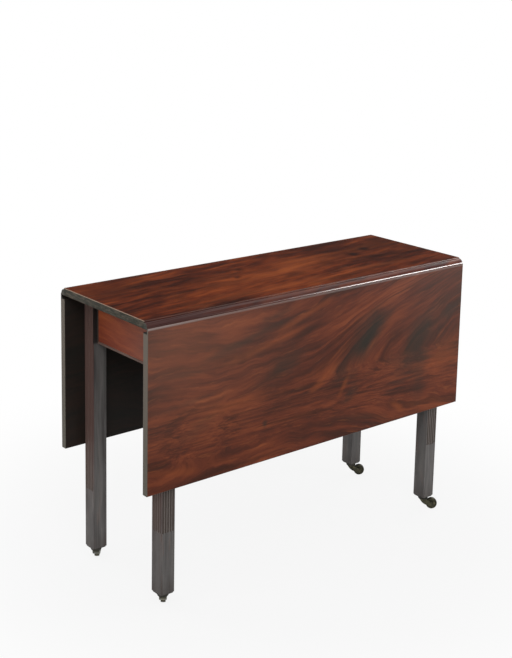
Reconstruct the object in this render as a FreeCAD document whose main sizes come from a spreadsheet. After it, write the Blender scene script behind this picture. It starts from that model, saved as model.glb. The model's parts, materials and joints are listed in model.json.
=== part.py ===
"""Pembroke table with two drop leaves on rule joints, fluted square legs and brass castors.

Frame: +X along the length, the front at -Y, +Z up, origin on the floor under the middle of the top.
Lengths are in millimetres. The leaves hang at rest.
"""
import FreeCAD, Part
import math
import os
import re
import Sketcher

Vector = FreeCAD.Vector
Placement = FreeCAD.Placement
Rotation = FreeCAD.Rotation
UP = Vector(0, 0, 1)

# Driving dimensions, one cell each.
SIZES = [
    # Top and leaves
    ("table_height", "711", "floor to the top's face"),
    ("table_length", "1028", "length of top and leaves"),
    ("flat_width", "336", "flat of the fixed top between the rule joints"),
    ("board_thick", "18", "thickness of top and leaves"),
    ("quirk_depth", "3", "step above the ovolo"),
    ("rule_radius", "12", "ovolo of the rule joint"),
    ("rule_gap", "0.4", "clearance between ovolo and cove"),
    ("lip_gap", "0.3", "clearance between the leaf's lip and the quirk"),
    ("leaf_drop", "390", "hinge pin to the leaf's free edge"),
    ("arris_round", "1.6", "rounding of the boards' edges"),
    # Legs and rails
    ("end_overhang", "54", "top beyond the legs at each end"),
    ("leg_width", "38", "leg section"),
    ("leg_clear", "2", "leg to the hanging leaf"),
    ("castor_height", "41", "floor to the foot of a leg"),
    ("leg_arris", "1", "rounding of a leg's corners"),
    ("flute_width", "5", "flute across a leg's face"),
    ("flute_depth", "2", "depth of a flute"),
    ("flute_pitch", "6.9", "flute to flute"),
    ("plain_foot", "154", "plain foot of a leg below its flutes"),
    ("rail_depth", "120", "depth of the rails"),
    ("end_rail_thick", "18", "end rail"),
    ("end_rail_setback", "12", "end rail behind the leg's end face"),
    ("side_rail_thick", "18", "inner side rail"),
    ("fly_rail_thick", "17", "fly rail outside the side rail"),
    ("fly_setback", "1", "fly rail behind the leg's face"),
    ("bead_width", "6", "bead round the end rail's face"),
    ("bead_depth", "6", "bead let into the end rail"),
    ("bead_proud", "2", "bead in front of the end rail's face"),
    ("bead_nose", "1.8", "rounding of the bead"),
    ("tenon_thick", "8", "rail tenon"),
    ("tenon_shoulder", "10", "shoulder above and below a tenon"),
    ("end_tenon_length", "24", "tenon of an end rail"),
    ("side_tenon_length", "11", "tenon of a side rail"),
    ("mortise_gap", "1", "room at the bottom of a mortise"),
    # Fly brackets
    ("fly_pin_share", "0.3", "bracket's pin, as a share of the way from the middle to a leg"),
    ("fly_tip_gap", "18", "bracket's tip to the leg"),
    ("fly_gap", "0.4", "running room of a wooden knuckle"),
    ("fly_pin_radius", "2.5", "bracket pin"),
    ("fly_tip_depth", "34", "bracket's depth at its tip"),
    ("fly_tip_length", "74", "length of the shaped tip"),
    ("fly_tip_round", "60", "hollow of the shaped tip"),
    # Table hinges
    ("hinge_inset", "153", "end of a leaf to the middle of its last hinge"),
    ("hinge_length", "38", "hinge along its pin"),
    ("middle_knuckle", "13", "the leaf's knuckle"),
    ("knuckle_gap", "0.25", "gap between knuckles"),
    ("barrel_radius", "3", "hinge barrel"),
    ("hinge_pin_radius", "1.2", "hinge pin"),
    ("pin_fit", "0.05", "radial clearance of pins and shanks"),
    ("plate_thick", "2", "hinge plate"),
    ("top_plate_reach", "35", "pin to the end of the top's plate"),
    ("leaf_plate_reach", "64", "pin to the end of the leaf's plate"),
    ("gain_gap", "0.3", "room round a hinge in its gain"),
    ("near_screw", "22", "pin to the first row of screws"),
    ("far_screw", "52", "pin to the leaf plate's last screw"),
    ("screw_spread", "11", "screw to the middle of a plate"),
    ("hinge_head_radius", "3.2", "hinge screw head"),
    ("hinge_shank_radius", "1.6", "hinge screw shank"),
    ("hinge_screw_length", "12", "hinge screw"),
    ("head_fit", "0.1", "room round a countersunk head"),
    ("pilot_end_gap", "0.5", "room beyond a screw's point"),
    # Top screws and glue blocks
    ("top_head_radius", "4", "top screw head"),
    ("top_head_height", "2.4", "top screw head"),
    ("top_shank_radius", "2", "top screw shank"),
    ("top_screw_length", "45", "top screw"),
    ("top_screw_bite", "12", "top screw in the top"),
    ("top_screw_share", "0.69", "last top screw of a side rail, as a share of the way to a leg"),
    ("end_screw_share", "0.56", "top screw of an end rail, as a share of the way to a leg"),
    ("counterbore_gap", "1", "room round a top screw's head"),
    ("block_side", "22", "glue block"),
    ("block_length", "80", "glue block along its rail"),
    ("block_share", "0.6", "glue block of a side rail, as a share of the way to a leg"),
    # Castors
    ("castor_plate_width", "36", "castor plate"),
    ("castor_plate_thick", "2.5", "castor plate"),
    ("castor_plate_round", "4", "corner of the castor plate"),
    ("boss_radius", "13.5", "boss under the castor plate"),
    ("boss_height", "8", "boss under the castor plate"),
    ("boss_round", "1.5", "rounding of the boss"),
    ("pintle_radius", "4", "upright pin of the horn"),
    ("pintle_fit", "0.06", "radial clearance of that pin"),
    ("rivet_radius", "6", "rivet head of the pintle"),
    ("rivet_height", "2", "rivet head of the pintle"),
    ("rivet_room", "2", "room round that head in the leg"),
    ("swivel_gap", "0.3", "gap between turning faces"),
    ("horn_base_radius", "10.5", "disc of the horn"),
    ("horn_base_thick", "2.5", "disc of the horn"),
    ("castor_trail", "24", "pintle to axle"),
    ("wheel_radius", "15.5", "castor wheel"),
    ("wheel_width", "11.5", "castor wheel"),
    ("wheel_crown", "0.9", "fall of the tread to its edges"),
    ("wheel_rim", "3.2", "rim of the wheel"),
    ("wheel_dish", "1.8", "depth of the dished face"),
    ("wheel_hub_radius", "5", "hub of the wheel"),
    ("wheel_side_gap", "0.45", "wheel to cheek"),
    ("wheel_tread_gap", "1.2", "wheel to horn"),
    ("cheek_thick", "2.5", "cheek of the horn"),
    ("cheek_radius", "5.5", "cheek round the axle"),
    ("horn_back", "8.5", "back of the horn behind the pintle"),
    ("horn_sweep", "32", "curve of the horn's back"),
    ("axle_radius", "2", "castor axle"),
    ("axle_head_radius", "3.4", "rivet head of the axle"),
    ("axle_head_height", "1", "rivet head of the axle"),
    ("castor_screw_inset", "4.6", "castor screw from the plate's edge"),
    ("castor_head_radius", "2.9", "castor screw head"),
    ("castor_shank_radius", "1.4", "castor screw shank"),
    ("castor_screw_length", "14", "castor screw"),
    # Every cut starts or ends this far outside the piece.
    ("overrun", "5", "extra length of a cut"),
]

# Places that follow from the driving dimensions.
PLACES = [
    ("pin_y", "flat_width / 2"),
    ("leaf_face", "quirk_depth + rule_radius"),
    ("pin_z", "table_height - leaf_face"),
    ("under_z", "table_height - board_thick"),
    ("leaf_back", "board_thick - leaf_face"),
    ("cove_radius", "rule_radius + rule_gap"),
    ("ovolo_foot", "sqrt(rule_radius ^ 2 - leaf_back ^ 2)"),
    ("cove_foot", "sqrt(cove_radius ^ 2 - leaf_back ^ 2)"),
    ("cove_lip", "sqrt(cove_radius ^ 2 - lip_gap ^ 2)"),
    ("half_length", "table_length / 2"),
    ("leaf_back_y", "pin_y - leaf_back"),
    ("leg_face_y", "leaf_back_y - leg_clear"),
    ("leg_in_y", "leg_face_y - leg_width"),
    ("leg_end_x", "half_length - end_overhang"),
    ("leg_in_x", "leg_end_x - leg_width"),
    ("leg_mid_x", "leg_end_x - leg_width / 2"),
    ("leg_mid_y", "leg_face_y - leg_width / 2"),
    ("rail_low_z", "under_z - rail_depth"),
    ("tenon_low_z", "rail_low_z + tenon_shoulder"),
    ("tenon_high_z", "under_z - tenon_shoulder"),
    ("end_rail_x", "leg_end_x - end_rail_setback"),
    ("end_rail_in_x", "end_rail_x - end_rail_thick"),
    ("end_rail_mid_x", "end_rail_x - end_rail_thick / 2"),
    ("fly_face_y", "leg_face_y - fly_setback"),
    ("side_rail_y", "fly_face_y - fly_rail_thick"),
    ("side_rail_in_y", "side_rail_y - side_rail_thick"),
    ("side_rail_mid_y", "side_rail_y - side_rail_thick / 2"),
    ("fly_pin_x", "fly_pin_share * leg_in_x"),
    ("fly_pin_y", "fly_face_y - fly_rail_thick / 2"),
    ("fly_tip_x", "leg_in_x - fly_tip_gap"),
    ("flute_radius", "((flute_width / 2) ^ 2 + flute_depth ^ 2) / (2 * flute_depth)"),
    ("flute_stop_z", "castor_height + plain_foot"),
    ("finger_radius", "fly_rail_thick / 2 - fly_gap"),
    ("shoulder_reach", "fly_rail_thick / 2 + fly_gap"),
    ("hinge_spacing", "half_length - hinge_inset"),
    ("barrel_room", "barrel_radius + gain_gap"),
    ("top_screw_x", "top_screw_share * leg_in_x"),
    ("end_screw_y", "end_screw_share * leg_in_y"),
    ("screw_seat_z", "under_z + top_screw_bite - top_screw_length"),
    ("castor_plate_z", "castor_height - castor_plate_thick"),
    ("boss_low_z", "castor_plate_z - boss_height"),
    ("horn_top_z", "boss_low_z - swivel_gap"),
    ("horn_base_z", "horn_top_z - horn_base_thick"),
    ("pintle_top_z", "castor_height + swivel_gap"),
    ("slot_width", "wheel_width + 2 * wheel_side_gap"),
    ("horn_width", "slot_width + 2 * cheek_thick"),
    ("axle_bore", "axle_radius + pin_fit"),
    ("castor_screw_at", "castor_plate_width / 2 - castor_screw_inset"),
]

FLUTES = 5
FINGERS = 5
HINGE_SPOTS = (-1, 0, 1)
TOP_SCREW_SHARES = (-1, -0.4, 0.4, 1)
SIDES = {"front": 0, "rear": 180}
# Corner name: sign of X, sign of Y, and the direction in degrees in which the castor trails at rest.
CORNERS = {
    "front_left": (-1, -1, 52),
    "front_right": (1, -1, -38),
    "rear_left": (-1, 1, 52),
    "rear_right": (1, 1, -38),
}
# Angles, in degrees round the axle, between which the cheek of a castor horn is round.
CHEEK_TOP_ANGLE = 52
CHEEK_LOW_ANGLE = -120

doc = FreeCAD.newDocument("pembroke_table")
sizes = doc.addObject("Spreadsheet::Sheet", "sizes")
places = doc.addObject("Spreadsheet::Sheet", "places")
SHEET_OF = {}
nodes = []


def formula(text):
    """Sheet expression for a formula in the plain names of sizes and places."""
    return re.sub(r"[a-z_]+", lambda word: SHEET_OF.get(word.group(), "") + word.group(), text)


def fill_sheets():
    """Write the driving dimensions and the places that follow from them."""
    for row, (alias, number, meaning) in enumerate(SIZES, 1):
        sizes.set(f"A{row}", meaning)
        sizes.set(f"B{row}", number)
        sizes.setAlias(f"B{row}", alias)
        SHEET_OF[alias] = "sizes."
    doc.recompute()
    for row, (alias, text) in enumerate(PLACES, 1):
        places.set(f"B{row}", "=" + formula(text))
        places.setAlias(f"B{row}", alias)
        SHEET_OF[alias] = "places."
        doc.recompute()


def number(text):
    """Value of a formula in the plain names of sizes and places."""
    return float(sizes.evalExpression(formula(text)))


def new_body(label, is_node=True):
    """Empty body, listed as a sub-part unless it is only a pattern for a group."""
    body = doc.addObject("PartDesign::Body", label)
    body.Label = label
    if is_node:
        nodes.append(body)
    return body


def plane_of(body, role):
    """One of the planes or axes of the body's own origin."""
    return next(item for item in body.Origin.OriginFeatures if item.Role == role)


def new_sketch(body, role, lift="0"):
    """Sketch on one of the body's own origin planes, lifted along that plane's normal."""
    sketch = body.newObject("Sketcher::SketchObject", "Sketch")
    sketch.AttachmentSupport = (plane_of(body, role), [""])
    sketch.MapMode = "FlatFace"
    sketch.setExpression("AttachmentOffset.Base.z", formula(lift))
    return sketch


def bind(sketch, kind, *spots, text):
    """Constraint whose value follows a formula."""
    index = sketch.addConstraint(Sketcher.Constraint(kind, *spots, number(text)))
    sketch.setExpression(f"Constraints[{index}]", formula(text))


def arc_between(start, end, radius, side):
    """Minor arc from start to end that bulges to the given side of the way from one to the other."""
    along = end - start
    half = along.Length / 2
    along.normalize()
    right = Vector(along.y, -along.x, 0)
    outward = right if side == "right" else right.negative()
    centre = (start + end) * 0.5 - outward * math.sqrt(max(radius ** 2 - half ** 2, 0))
    first, last = (start, end) if side == "right" else (end, start)
    angles = [math.atan2(spot.y - centre.y, spot.x - centre.x) for spot in (first, last)]
    return Part.ArcOfCircle(Part.Circle(centre, UP, radius), *angles)


def outline(sketch, corners):
    """Closed outline. A corner is (x, y), or (x, y, radius, side) where an arc runs to the next."""
    spots = [Vector(number(corner[0]), number(corner[1]), 0) for corner in corners]
    base = sketch.GeometryCount
    starts = []
    for index, corner in enumerate(corners):
        start, end = spots[index], spots[(index + 1) % len(spots)]
        if len(corner) == 2:
            sketch.addGeometry(Part.LineSegment(start, end))
            starts.append(1)
        else:
            sketch.addGeometry(arc_between(start, end, number(corner[2]), corner[3]))
            starts.append(1 if corner[3] == "right" else 2)
    for index in range(len(corners)):
        following = (index + 1) % len(corners)
        sketch.addConstraint(Sketcher.Constraint(
            "Coincident", base + index, 3 - starts[index], base + following, starts[following]))
    for index, corner in enumerate(corners):
        bind(sketch, "DistanceX", -1, 1, base + index, starts[index], text=corner[0])
        bind(sketch, "DistanceY", -1, 1, base + index, starts[index], text=corner[1])
        if len(corner) == 4:
            bind(sketch, "Radius", base + index, text=corner[2])


def rectangle(sketch, low, high):
    """Rectangle between two opposite corners."""
    outline(sketch, [low, (high[0], low[1]), high, (low[0], high[1])])


def circle(sketch, x, y, radius):
    """Circle round a centre."""
    index = sketch.addGeometry(Part.Circle(Vector(number(x), number(y), 0), UP, number(radius)))
    bind(sketch, "DistanceX", -1, 1, index, 3, text=x)
    bind(sketch, "DistanceY", -1, 1, index, 3, text=y)
    bind(sketch, "Radius", index, text=radius)


def settle(body, feature):
    """Recompute, and stop if the new feature failed."""
    doc.recompute()
    if "Invalid" in feature.State or feature.Shape.isNull():
        raise RuntimeError(f"{body.Label}: {feature.Name} failed")


def pad(body, sketch, length):
    """Raise a sketch along its normal."""
    feature = body.newObject("PartDesign::Pad", "Pad")
    feature.Profile = sketch
    feature.setExpression("Length", formula(length))
    settle(body, feature)


def pocket(body, sketch, depth, along_normal=True):
    """Cut a sketch into the body, along its normal or against it, and see that wood or metal went."""
    before = body.Shape.Volume
    feature = body.newObject("PartDesign::Pocket", "Pocket")
    feature.Profile = sketch
    feature.setExpression("Length", formula(depth))
    feature.Reversed = along_normal
    settle(body, feature)
    if not body.Shape.Volume < before:
        raise RuntimeError(f"{body.Label}: a pocket cuts nothing")
    return feature


def countersinks(body, sketch, head_radius, shank_radius, along_normal=True):
    """Cut countersunk holes at the sketch's circles, which have the shank's radius."""
    feature = body.newObject("PartDesign::Hole", "Hole")
    feature.Profile = sketch
    doc.recompute()
    feature.ThreadType = 0
    feature.HoleCutType = "Countersink"
    feature.HoleCutCustomValues = True
    feature.DepthType = "ThroughAll"
    feature.Reversed = along_normal
    feature.setExpression("Diameter", formula(f"2 * ({shank_radius} + pin_fit)"))
    feature.setExpression("HoleCutDiameter", formula(f"2 * ({head_radius} + head_fit)"))
    feature.HoleCutCountersinkAngle = 90
    settle(body, feature)


def revolve(body, sketch, axis):
    """Turn a sketch round one of its own axes."""
    feature = body.newObject("PartDesign::Revolution", "Revolution")
    feature.Profile = sketch
    feature.ReferenceAxis = (sketch, [axis])
    feature.Angle = 360
    settle(body, feature)


def round_edges(body, radius, wanted):
    """Round the edges that a test picks out by their place."""
    base = body.Tip
    picked = [f"Edge{index}" for index, edge in enumerate(base.Shape.Edges, 1) if wanted(edge)]
    if not picked:
        raise RuntimeError(f"{body.Label}: no edge to round")
    feature = body.newObject("PartDesign::Fillet", "Fillet")
    feature.Base = (base, picked)
    feature.setExpression("Radius", formula(radius))
    settle(body, feature)


def lies_at(edge, **levels):
    """Whether an edge lies wholly at the given levels of x, y or z."""
    box = edge.BoundBox
    tolerance = number("pin_fit")
    ends = {"x": (box.XMin, box.XMax), "y": (box.YMin, box.YMax), "z": (box.ZMin, box.ZMax)}
    return all(abs(end - level) < tolerance for axis, level in levels.items() for end in ends[axis])


def turn(side):
    """Placement that takes a front piece to its side of the table."""
    return Placement(Vector(0, 0, 0), Rotation(UP, SIDES[side]))


def group(label, pattern, spots):
    """Separate copies of a pattern body, one at each placement, as one sub-part."""
    copies = []
    for spot in spots:
        copy = pattern.Shape.copy()
        copy.Placement = spot
        copies.append(copy)
    feature = doc.addObject("Part::Feature", label)
    feature.Label = label
    feature.Shape = Part.makeCompound(copies)
    nodes.append(feature)
    return feature


def make_top():
    """Fixed top: the ovolo and quirk of the rule joint on both long edges, gained for the hinges."""
    body = new_body("top_board")
    section = new_sketch(body, "YZ_Plane", "-half_length")
    outline(section, [
        ("pin_y + ovolo_foot", "under_z", "rule_radius", "right"),
        ("pin_y", "pin_z + rule_radius"),
        ("pin_y", "table_height"),
        ("-pin_y", "table_height"),
        ("-pin_y", "pin_z + rule_radius", "rule_radius", "right"),
        ("-pin_y - ovolo_foot", "under_z"),
    ])
    pad(body, section, "table_length")
    face_z, end_x = number("table_height"), number("half_length")
    round_edges(body, "arris_round", lambda edge: any(
        lies_at(edge, z=face_z, x=sign * end_x) for sign in (-1, 1)))
    # A gain is a shallow bed for the plate, a trough for the barrel and room for the leaf's plate.
    beds = [
        ("-top_plate_reach - gain_gap", "-barrel_room", "plate_thick"),
        ("-barrel_room", "barrel_room", "leaf_back + barrel_room"),
        ("barrel_room", "rule_radius + overrun", "plate_thick + gain_gap"),
    ]
    for inner, outer, depth in beds:
        plan = new_sketch(body, "XY_Plane", "under_z")
        for sign in (-1, 1):
            for spot in HINGE_SPOTS:
                rectangle(plan,
                          (f"{spot} * hinge_spacing - hinge_length / 2 - gain_gap",
                           f"{sign} * (pin_y + ({inner}))"),
                          (f"{spot} * hinge_spacing + hinge_length / 2 + gain_gap",
                           f"{sign} * (pin_y + ({outer}))"))
        pocket(body, plan, depth)
    pilots = new_sketch(body, "XY_Plane", "under_z")
    for sign in (-1, 1):
        for spot in HINGE_SPOTS:
            for way in (-1, 1):
                circle(pilots, f"{spot} * hinge_spacing + {way} * screw_spread",
                       f"{sign} * (pin_y - near_screw)", "hinge_shank_radius + pin_fit")
    pocket(body, pilots, "hinge_screw_length + pilot_end_gap")
    fixings = new_sketch(body, "XY_Plane", "under_z")
    for x, y in top_screw_spots():
        circle(fixings, x, y, "top_shank_radius + pin_fit")
    pocket(body, fixings, "top_screw_bite + pilot_end_gap")


def top_screw_spots():
    """Formulas of x and y of the screws that hold the top, along the side rails and the end rails."""
    spots = [(f"{share} * top_screw_x", f"{sign} * side_rail_mid_y")
             for sign in (-1, 1) for share in TOP_SCREW_SHARES]
    spots += [(f"{sign} * end_rail_mid_x", f"{along} * end_screw_y")
              for sign in (-1, 1) for along in (-1, 1)]
    return spots


def make_leaf(side):
    """Drop leaf, hanging: a lip and a cove that run round the top's ovolo, gained for the hinges."""
    body = new_body(f"leaf_{side}")
    section = new_sketch(body, "YZ_Plane", "-half_length")
    outline(section, [
        ("-(pin_y + leaf_face)", "pin_z - lip_gap"),
        ("-(pin_y + leaf_face)", "pin_z - leaf_drop"),
        ("-leaf_back_y", "pin_z - leaf_drop"),
        ("-leaf_back_y", "pin_z - cove_foot", "cove_radius", "left"),
        ("-(pin_y + cove_lip)", "pin_z - lip_gap"),
    ])
    pad(body, section, "table_length")
    face_y, back_y = -number("pin_y + leaf_face"), -number("leaf_back_y")
    low_z, end_x = number("pin_z - leaf_drop"), number("half_length")
    round_edges(body, "arris_round", lambda edge: any(
        lies_at(edge, y=level, z=low_z) or any(
            lies_at(edge, y=level, x=sign * end_x) for sign in (-1, 1)) for level in (face_y, back_y)))
    beds = new_sketch(body, "XZ_Plane", "leaf_back_y")
    pilots_at = []
    for spot in HINGE_SPOTS:
        rectangle(beds,
                  (f"{spot} * hinge_spacing - hinge_length / 2 - gain_gap",
                   "pin_z - leaf_plate_reach - gain_gap"),
                  (f"{spot} * hinge_spacing + hinge_length / 2 + gain_gap", "pin_z"))
        pilots_at += [(f"{spot} * hinge_spacing + {way} * screw_spread", f"pin_z - {drop}")
                      for way, drop in ((-1, "near_screw"), (1, "near_screw"), (0, "far_screw"))]
    pocket(body, beds, "plate_thick")
    pilots = new_sketch(body, "XZ_Plane", "leaf_back_y")
    for x, z in pilots_at:
        circle(pilots, x, z, "hinge_shank_radius + pin_fit")
    pocket(body, pilots, "hinge_screw_length + pilot_end_gap")
    body.Placement = turn(side)


def make_leg(corner):
    """Square leg, fluted on its two outer faces down to a plain foot, and mortised for the rails."""
    sign_x, sign_y = CORNERS[corner][:2]
    body = new_body(f"leg_{corner}")
    section = new_sketch(body, "XY_Plane", "castor_height")
    rectangle(section, (f"{sign_x} * leg_in_x", f"{sign_y} * leg_in_y"),
              (f"{sign_x} * leg_end_x", f"{sign_y} * leg_face_y"))
    pad(body, section, "under_z - castor_height")
    levels_x = [sign_x * number(name) for name in ("leg_in_x", "leg_end_x")]
    levels_y = [sign_y * number(name) for name in ("leg_in_y", "leg_face_y")]
    round_edges(body, "leg_arris", lambda edge: any(
        lies_at(edge, x=x, y=y) for x in levels_x for y in levels_y))
    flute_row(body, f"{sign_x} * (leg_end_x + flute_radius - flute_depth)",
              f"{sign_y} * leg_mid_y - (FLUTES - 1) / 2 * flute_pitch", "Y_Axis")
    flute_row(body, f"{sign_x} * leg_mid_x - (FLUTES - 1) / 2 * flute_pitch",
              f"{sign_y} * (leg_face_y + flute_radius - flute_depth)", "X_Axis")

    end_mortise = new_sketch(body, "XZ_Plane", f"{-sign_y} * leg_in_y")
    rectangle(end_mortise, (f"{sign_x} * (end_rail_mid_x - tenon_thick / 2)", "tenon_low_z"),
              (f"{sign_x} * (end_rail_mid_x + tenon_thick / 2)", "tenon_high_z"))
    pocket(body, end_mortise, "end_tenon_length + mortise_gap", along_normal=sign_y < 0)
    side_mortise = new_sketch(body, "YZ_Plane", f"{sign_x} * leg_in_x")
    rectangle(side_mortise, (f"{sign_y} * (side_rail_mid_y - tenon_thick / 2)", "tenon_low_z"),
              (f"{sign_y} * (side_rail_mid_y + tenon_thick / 2)", "tenon_high_z"))
    pocket(body, side_mortise, "side_tenon_length + mortise_gap", along_normal=sign_x > 0)

    socket = new_sketch(body, "XY_Plane", "castor_height")
    circle(socket, f"{sign_x} * leg_mid_x", f"{sign_y} * leg_mid_y", "rivet_radius + rivet_room")
    pocket(body, socket, "swivel_gap + rivet_height + rivet_room")
    pilots = new_sketch(body, "XY_Plane", "castor_height")
    for way_x in (-1, 1):
        for way_y in (-1, 1):
            circle(pilots, f"{sign_x} * leg_mid_x + {way_x} * castor_screw_at",
                   f"{sign_y} * leg_mid_y + {way_y} * castor_screw_at", "castor_shank_radius + pin_fit")
    pocket(body, pilots, "castor_screw_length - castor_plate_thick + pilot_end_gap")


def flute_row(body, x, y, direction):
    """Cut a row of round-ended flutes into a leg's face, from the first one's axis along a direction."""
    x, y = x.replace("FLUTES", str(FLUTES)), y.replace("FLUTES", str(FLUTES))
    plan = new_sketch(body, "XY_Plane", "flute_stop_z")
    circle(plan, x, y, "flute_radius")
    groove = pocket(body, plan, "under_z - flute_stop_z + overrun")
    ball = body.newObject("PartDesign::SubtractiveSphere", "FluteEnd")
    ball.AttachmentSupport = (plane_of(body, "XY_Plane"), [""])
    ball.MapMode = "FlatFace"
    for axis, text in (("x", x), ("y", y), ("z", "flute_stop_z")):
        ball.setExpression(f"AttachmentOffset.Base.{axis}", formula(text))
    ball.setExpression("Radius", formula("flute_radius"))
    settle(body, ball)
    row = body.newObject("PartDesign::LinearPattern", "FluteRow")
    row.Originals = [groove, ball]
    row.Direction = (plane_of(body, direction), [""])
    row.Occurrences = FLUTES
    row.setExpression("Length", formula(f"{FLUTES - 1} * flute_pitch"))
    body.Tip = row
    settle(body, row)


def make_end_rail(end, half_turn):
    """Plain frieze with a tenon at each end, rebated along three edges for a bead, and that bead."""
    turned = Placement(Vector(0, 0, 0), Rotation(UP, half_turn))
    rail = new_body(f"end_rail_{end}")
    section = new_sketch(rail, "XZ_Plane", "-leg_in_y")
    rectangle(section, ("-end_rail_x", "rail_low_z"), ("-end_rail_in_x", "under_z"))
    pad(rail, section, "2 * leg_in_y")
    tenons = new_sketch(rail, "XZ_Plane", "-leg_in_y - end_tenon_length")
    rectangle(tenons, ("-end_rail_mid_x - tenon_thick / 2", "tenon_low_z"),
              ("-end_rail_mid_x + tenon_thick / 2", "tenon_high_z"))
    pad(rail, tenons, "2 * (leg_in_y + end_tenon_length)")
    rebate = new_sketch(rail, "YZ_Plane", "-end_rail_x")
    outline(rebate, bead_outline())
    pocket(rail, rebate, "bead_depth")
    bore_for_top_screws(rail, [
        ("-end_rail_mid_x", f"{along} * end_screw_y") for along in (-1, 1)])
    rail.Placement = turned

    bead = new_body(f"frieze_bead_{end}")
    border = new_sketch(bead, "YZ_Plane", "-end_rail_x - bead_proud")
    outline(border, bead_outline())
    pad(bead, border, "bead_depth + bead_proud")
    front_x = -number("end_rail_x + bead_proud")
    under_z = number("under_z")
    round_edges(bead, "bead_nose", lambda edge: (
        lies_at(edge, x=front_x) and not lies_at(edge, z=under_z)))
    bead.Placement = turned


def bead_outline():
    """Corners of the bead that runs down both ends and along the lower edge of a frieze."""
    return [
        ("-leg_in_y", "rail_low_z"), ("leg_in_y", "rail_low_z"), ("leg_in_y", "under_z"),
        ("leg_in_y - bead_width", "under_z"), ("leg_in_y - bead_width", "rail_low_z + bead_width"),
        ("-leg_in_y + bead_width", "rail_low_z + bead_width"), ("-leg_in_y + bead_width", "under_z"),
        ("-leg_in_y", "under_z"),
    ]


def bore_for_top_screws(body, spots):
    """Bore a rail for the top's screws: a counterbore from below and a hole for the shank."""
    for radius, depth in (("top_head_radius + counterbore_gap", "screw_seat_z - rail_low_z"),
                          ("top_shank_radius + pin_fit", "rail_depth + overrun")):
        plan = new_sketch(body, "XY_Plane", "rail_low_z")
        for x, y in spots:
            circle(plan, x, y, radius)
        pocket(body, plan, depth)


def make_side_rail(side):
    """Inner side rail with a tenon at each end."""
    body = new_body(f"side_rail_{side}")
    section = new_sketch(body, "YZ_Plane", "-leg_in_x")
    rectangle(section, ("-side_rail_y", "rail_low_z"), ("-side_rail_in_y", "under_z"))
    pad(body, section, "2 * leg_in_x")
    tenons = new_sketch(body, "YZ_Plane", "-leg_in_x - side_tenon_length")
    rectangle(tenons, ("-side_rail_mid_y - tenon_thick / 2", "tenon_low_z"),
              ("-side_rail_mid_y + tenon_thick / 2", "tenon_high_z"))
    pad(body, tenons, "2 * (leg_in_x + side_tenon_length)")
    bore_for_top_screws(body, [(f"{share} * top_screw_x", "-side_rail_mid_y")
                               for share in TOP_SCREW_SHARES])
    body.Placement = turn(side)


def finger_levels(parity, gap):
    """Formulas of the low and high level of every second finger of a wooden knuckle."""
    step = f"(rail_depth / {FINGERS})"
    return [(f"rail_low_z + {index} * {step} - ({gap})", f"rail_low_z + {index + 1} * {step} + ({gap})")
            for index in range(parity, FINGERS, 2)]


def cut_fingers(body, inner, outer, parity, gap):
    """Notch every second finger across the thickness of a fly rail, between two formulas of x."""
    plan = new_sketch(body, "XZ_Plane", "side_rail_y - overrun")
    for low, high in finger_levels(parity, gap):
        rectangle(plan, (inner, low), (outer, high))
    pocket(body, plan, "fly_rail_thick + 2 * overrun")


def make_fly_rail(side):
    """Fixed middle of the fly rail, with a wooden knuckle at each end."""
    body = new_body(f"fly_rail_{side}")
    plan = new_sketch(body, "XY_Plane", "rail_low_z")
    outline(plan, [
        ("-fly_pin_x", "-fly_face_y"),
        ("fly_pin_x", "-fly_face_y", "fly_rail_thick / 2", "right"),
        ("fly_pin_x + fly_rail_thick / 2", "-fly_pin_y", "fly_rail_thick / 2", "right"),
        ("fly_pin_x", "-side_rail_y"),
        ("-fly_pin_x", "-side_rail_y", "fly_rail_thick / 2", "right"),
        ("-fly_pin_x - fly_rail_thick / 2", "-fly_pin_y", "fly_rail_thick / 2", "right"),
    ])
    pad(body, plan, "rail_depth")
    for way in (-1, 1):
        cut_fingers(body, f"{way} * (fly_pin_x - shoulder_reach)",
                    f"{way} * (fly_pin_x + fly_rail_thick)", 1, "0")
    bores = new_sketch(body, "XY_Plane", "rail_low_z")
    for way in (-1, 1):
        circle(bores, f"{way} * fly_pin_x", "-fly_pin_y", "fly_pin_radius + pin_fit")
    pocket(body, bores, "rail_depth + overrun")
    body.Placement = turn(side)


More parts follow.
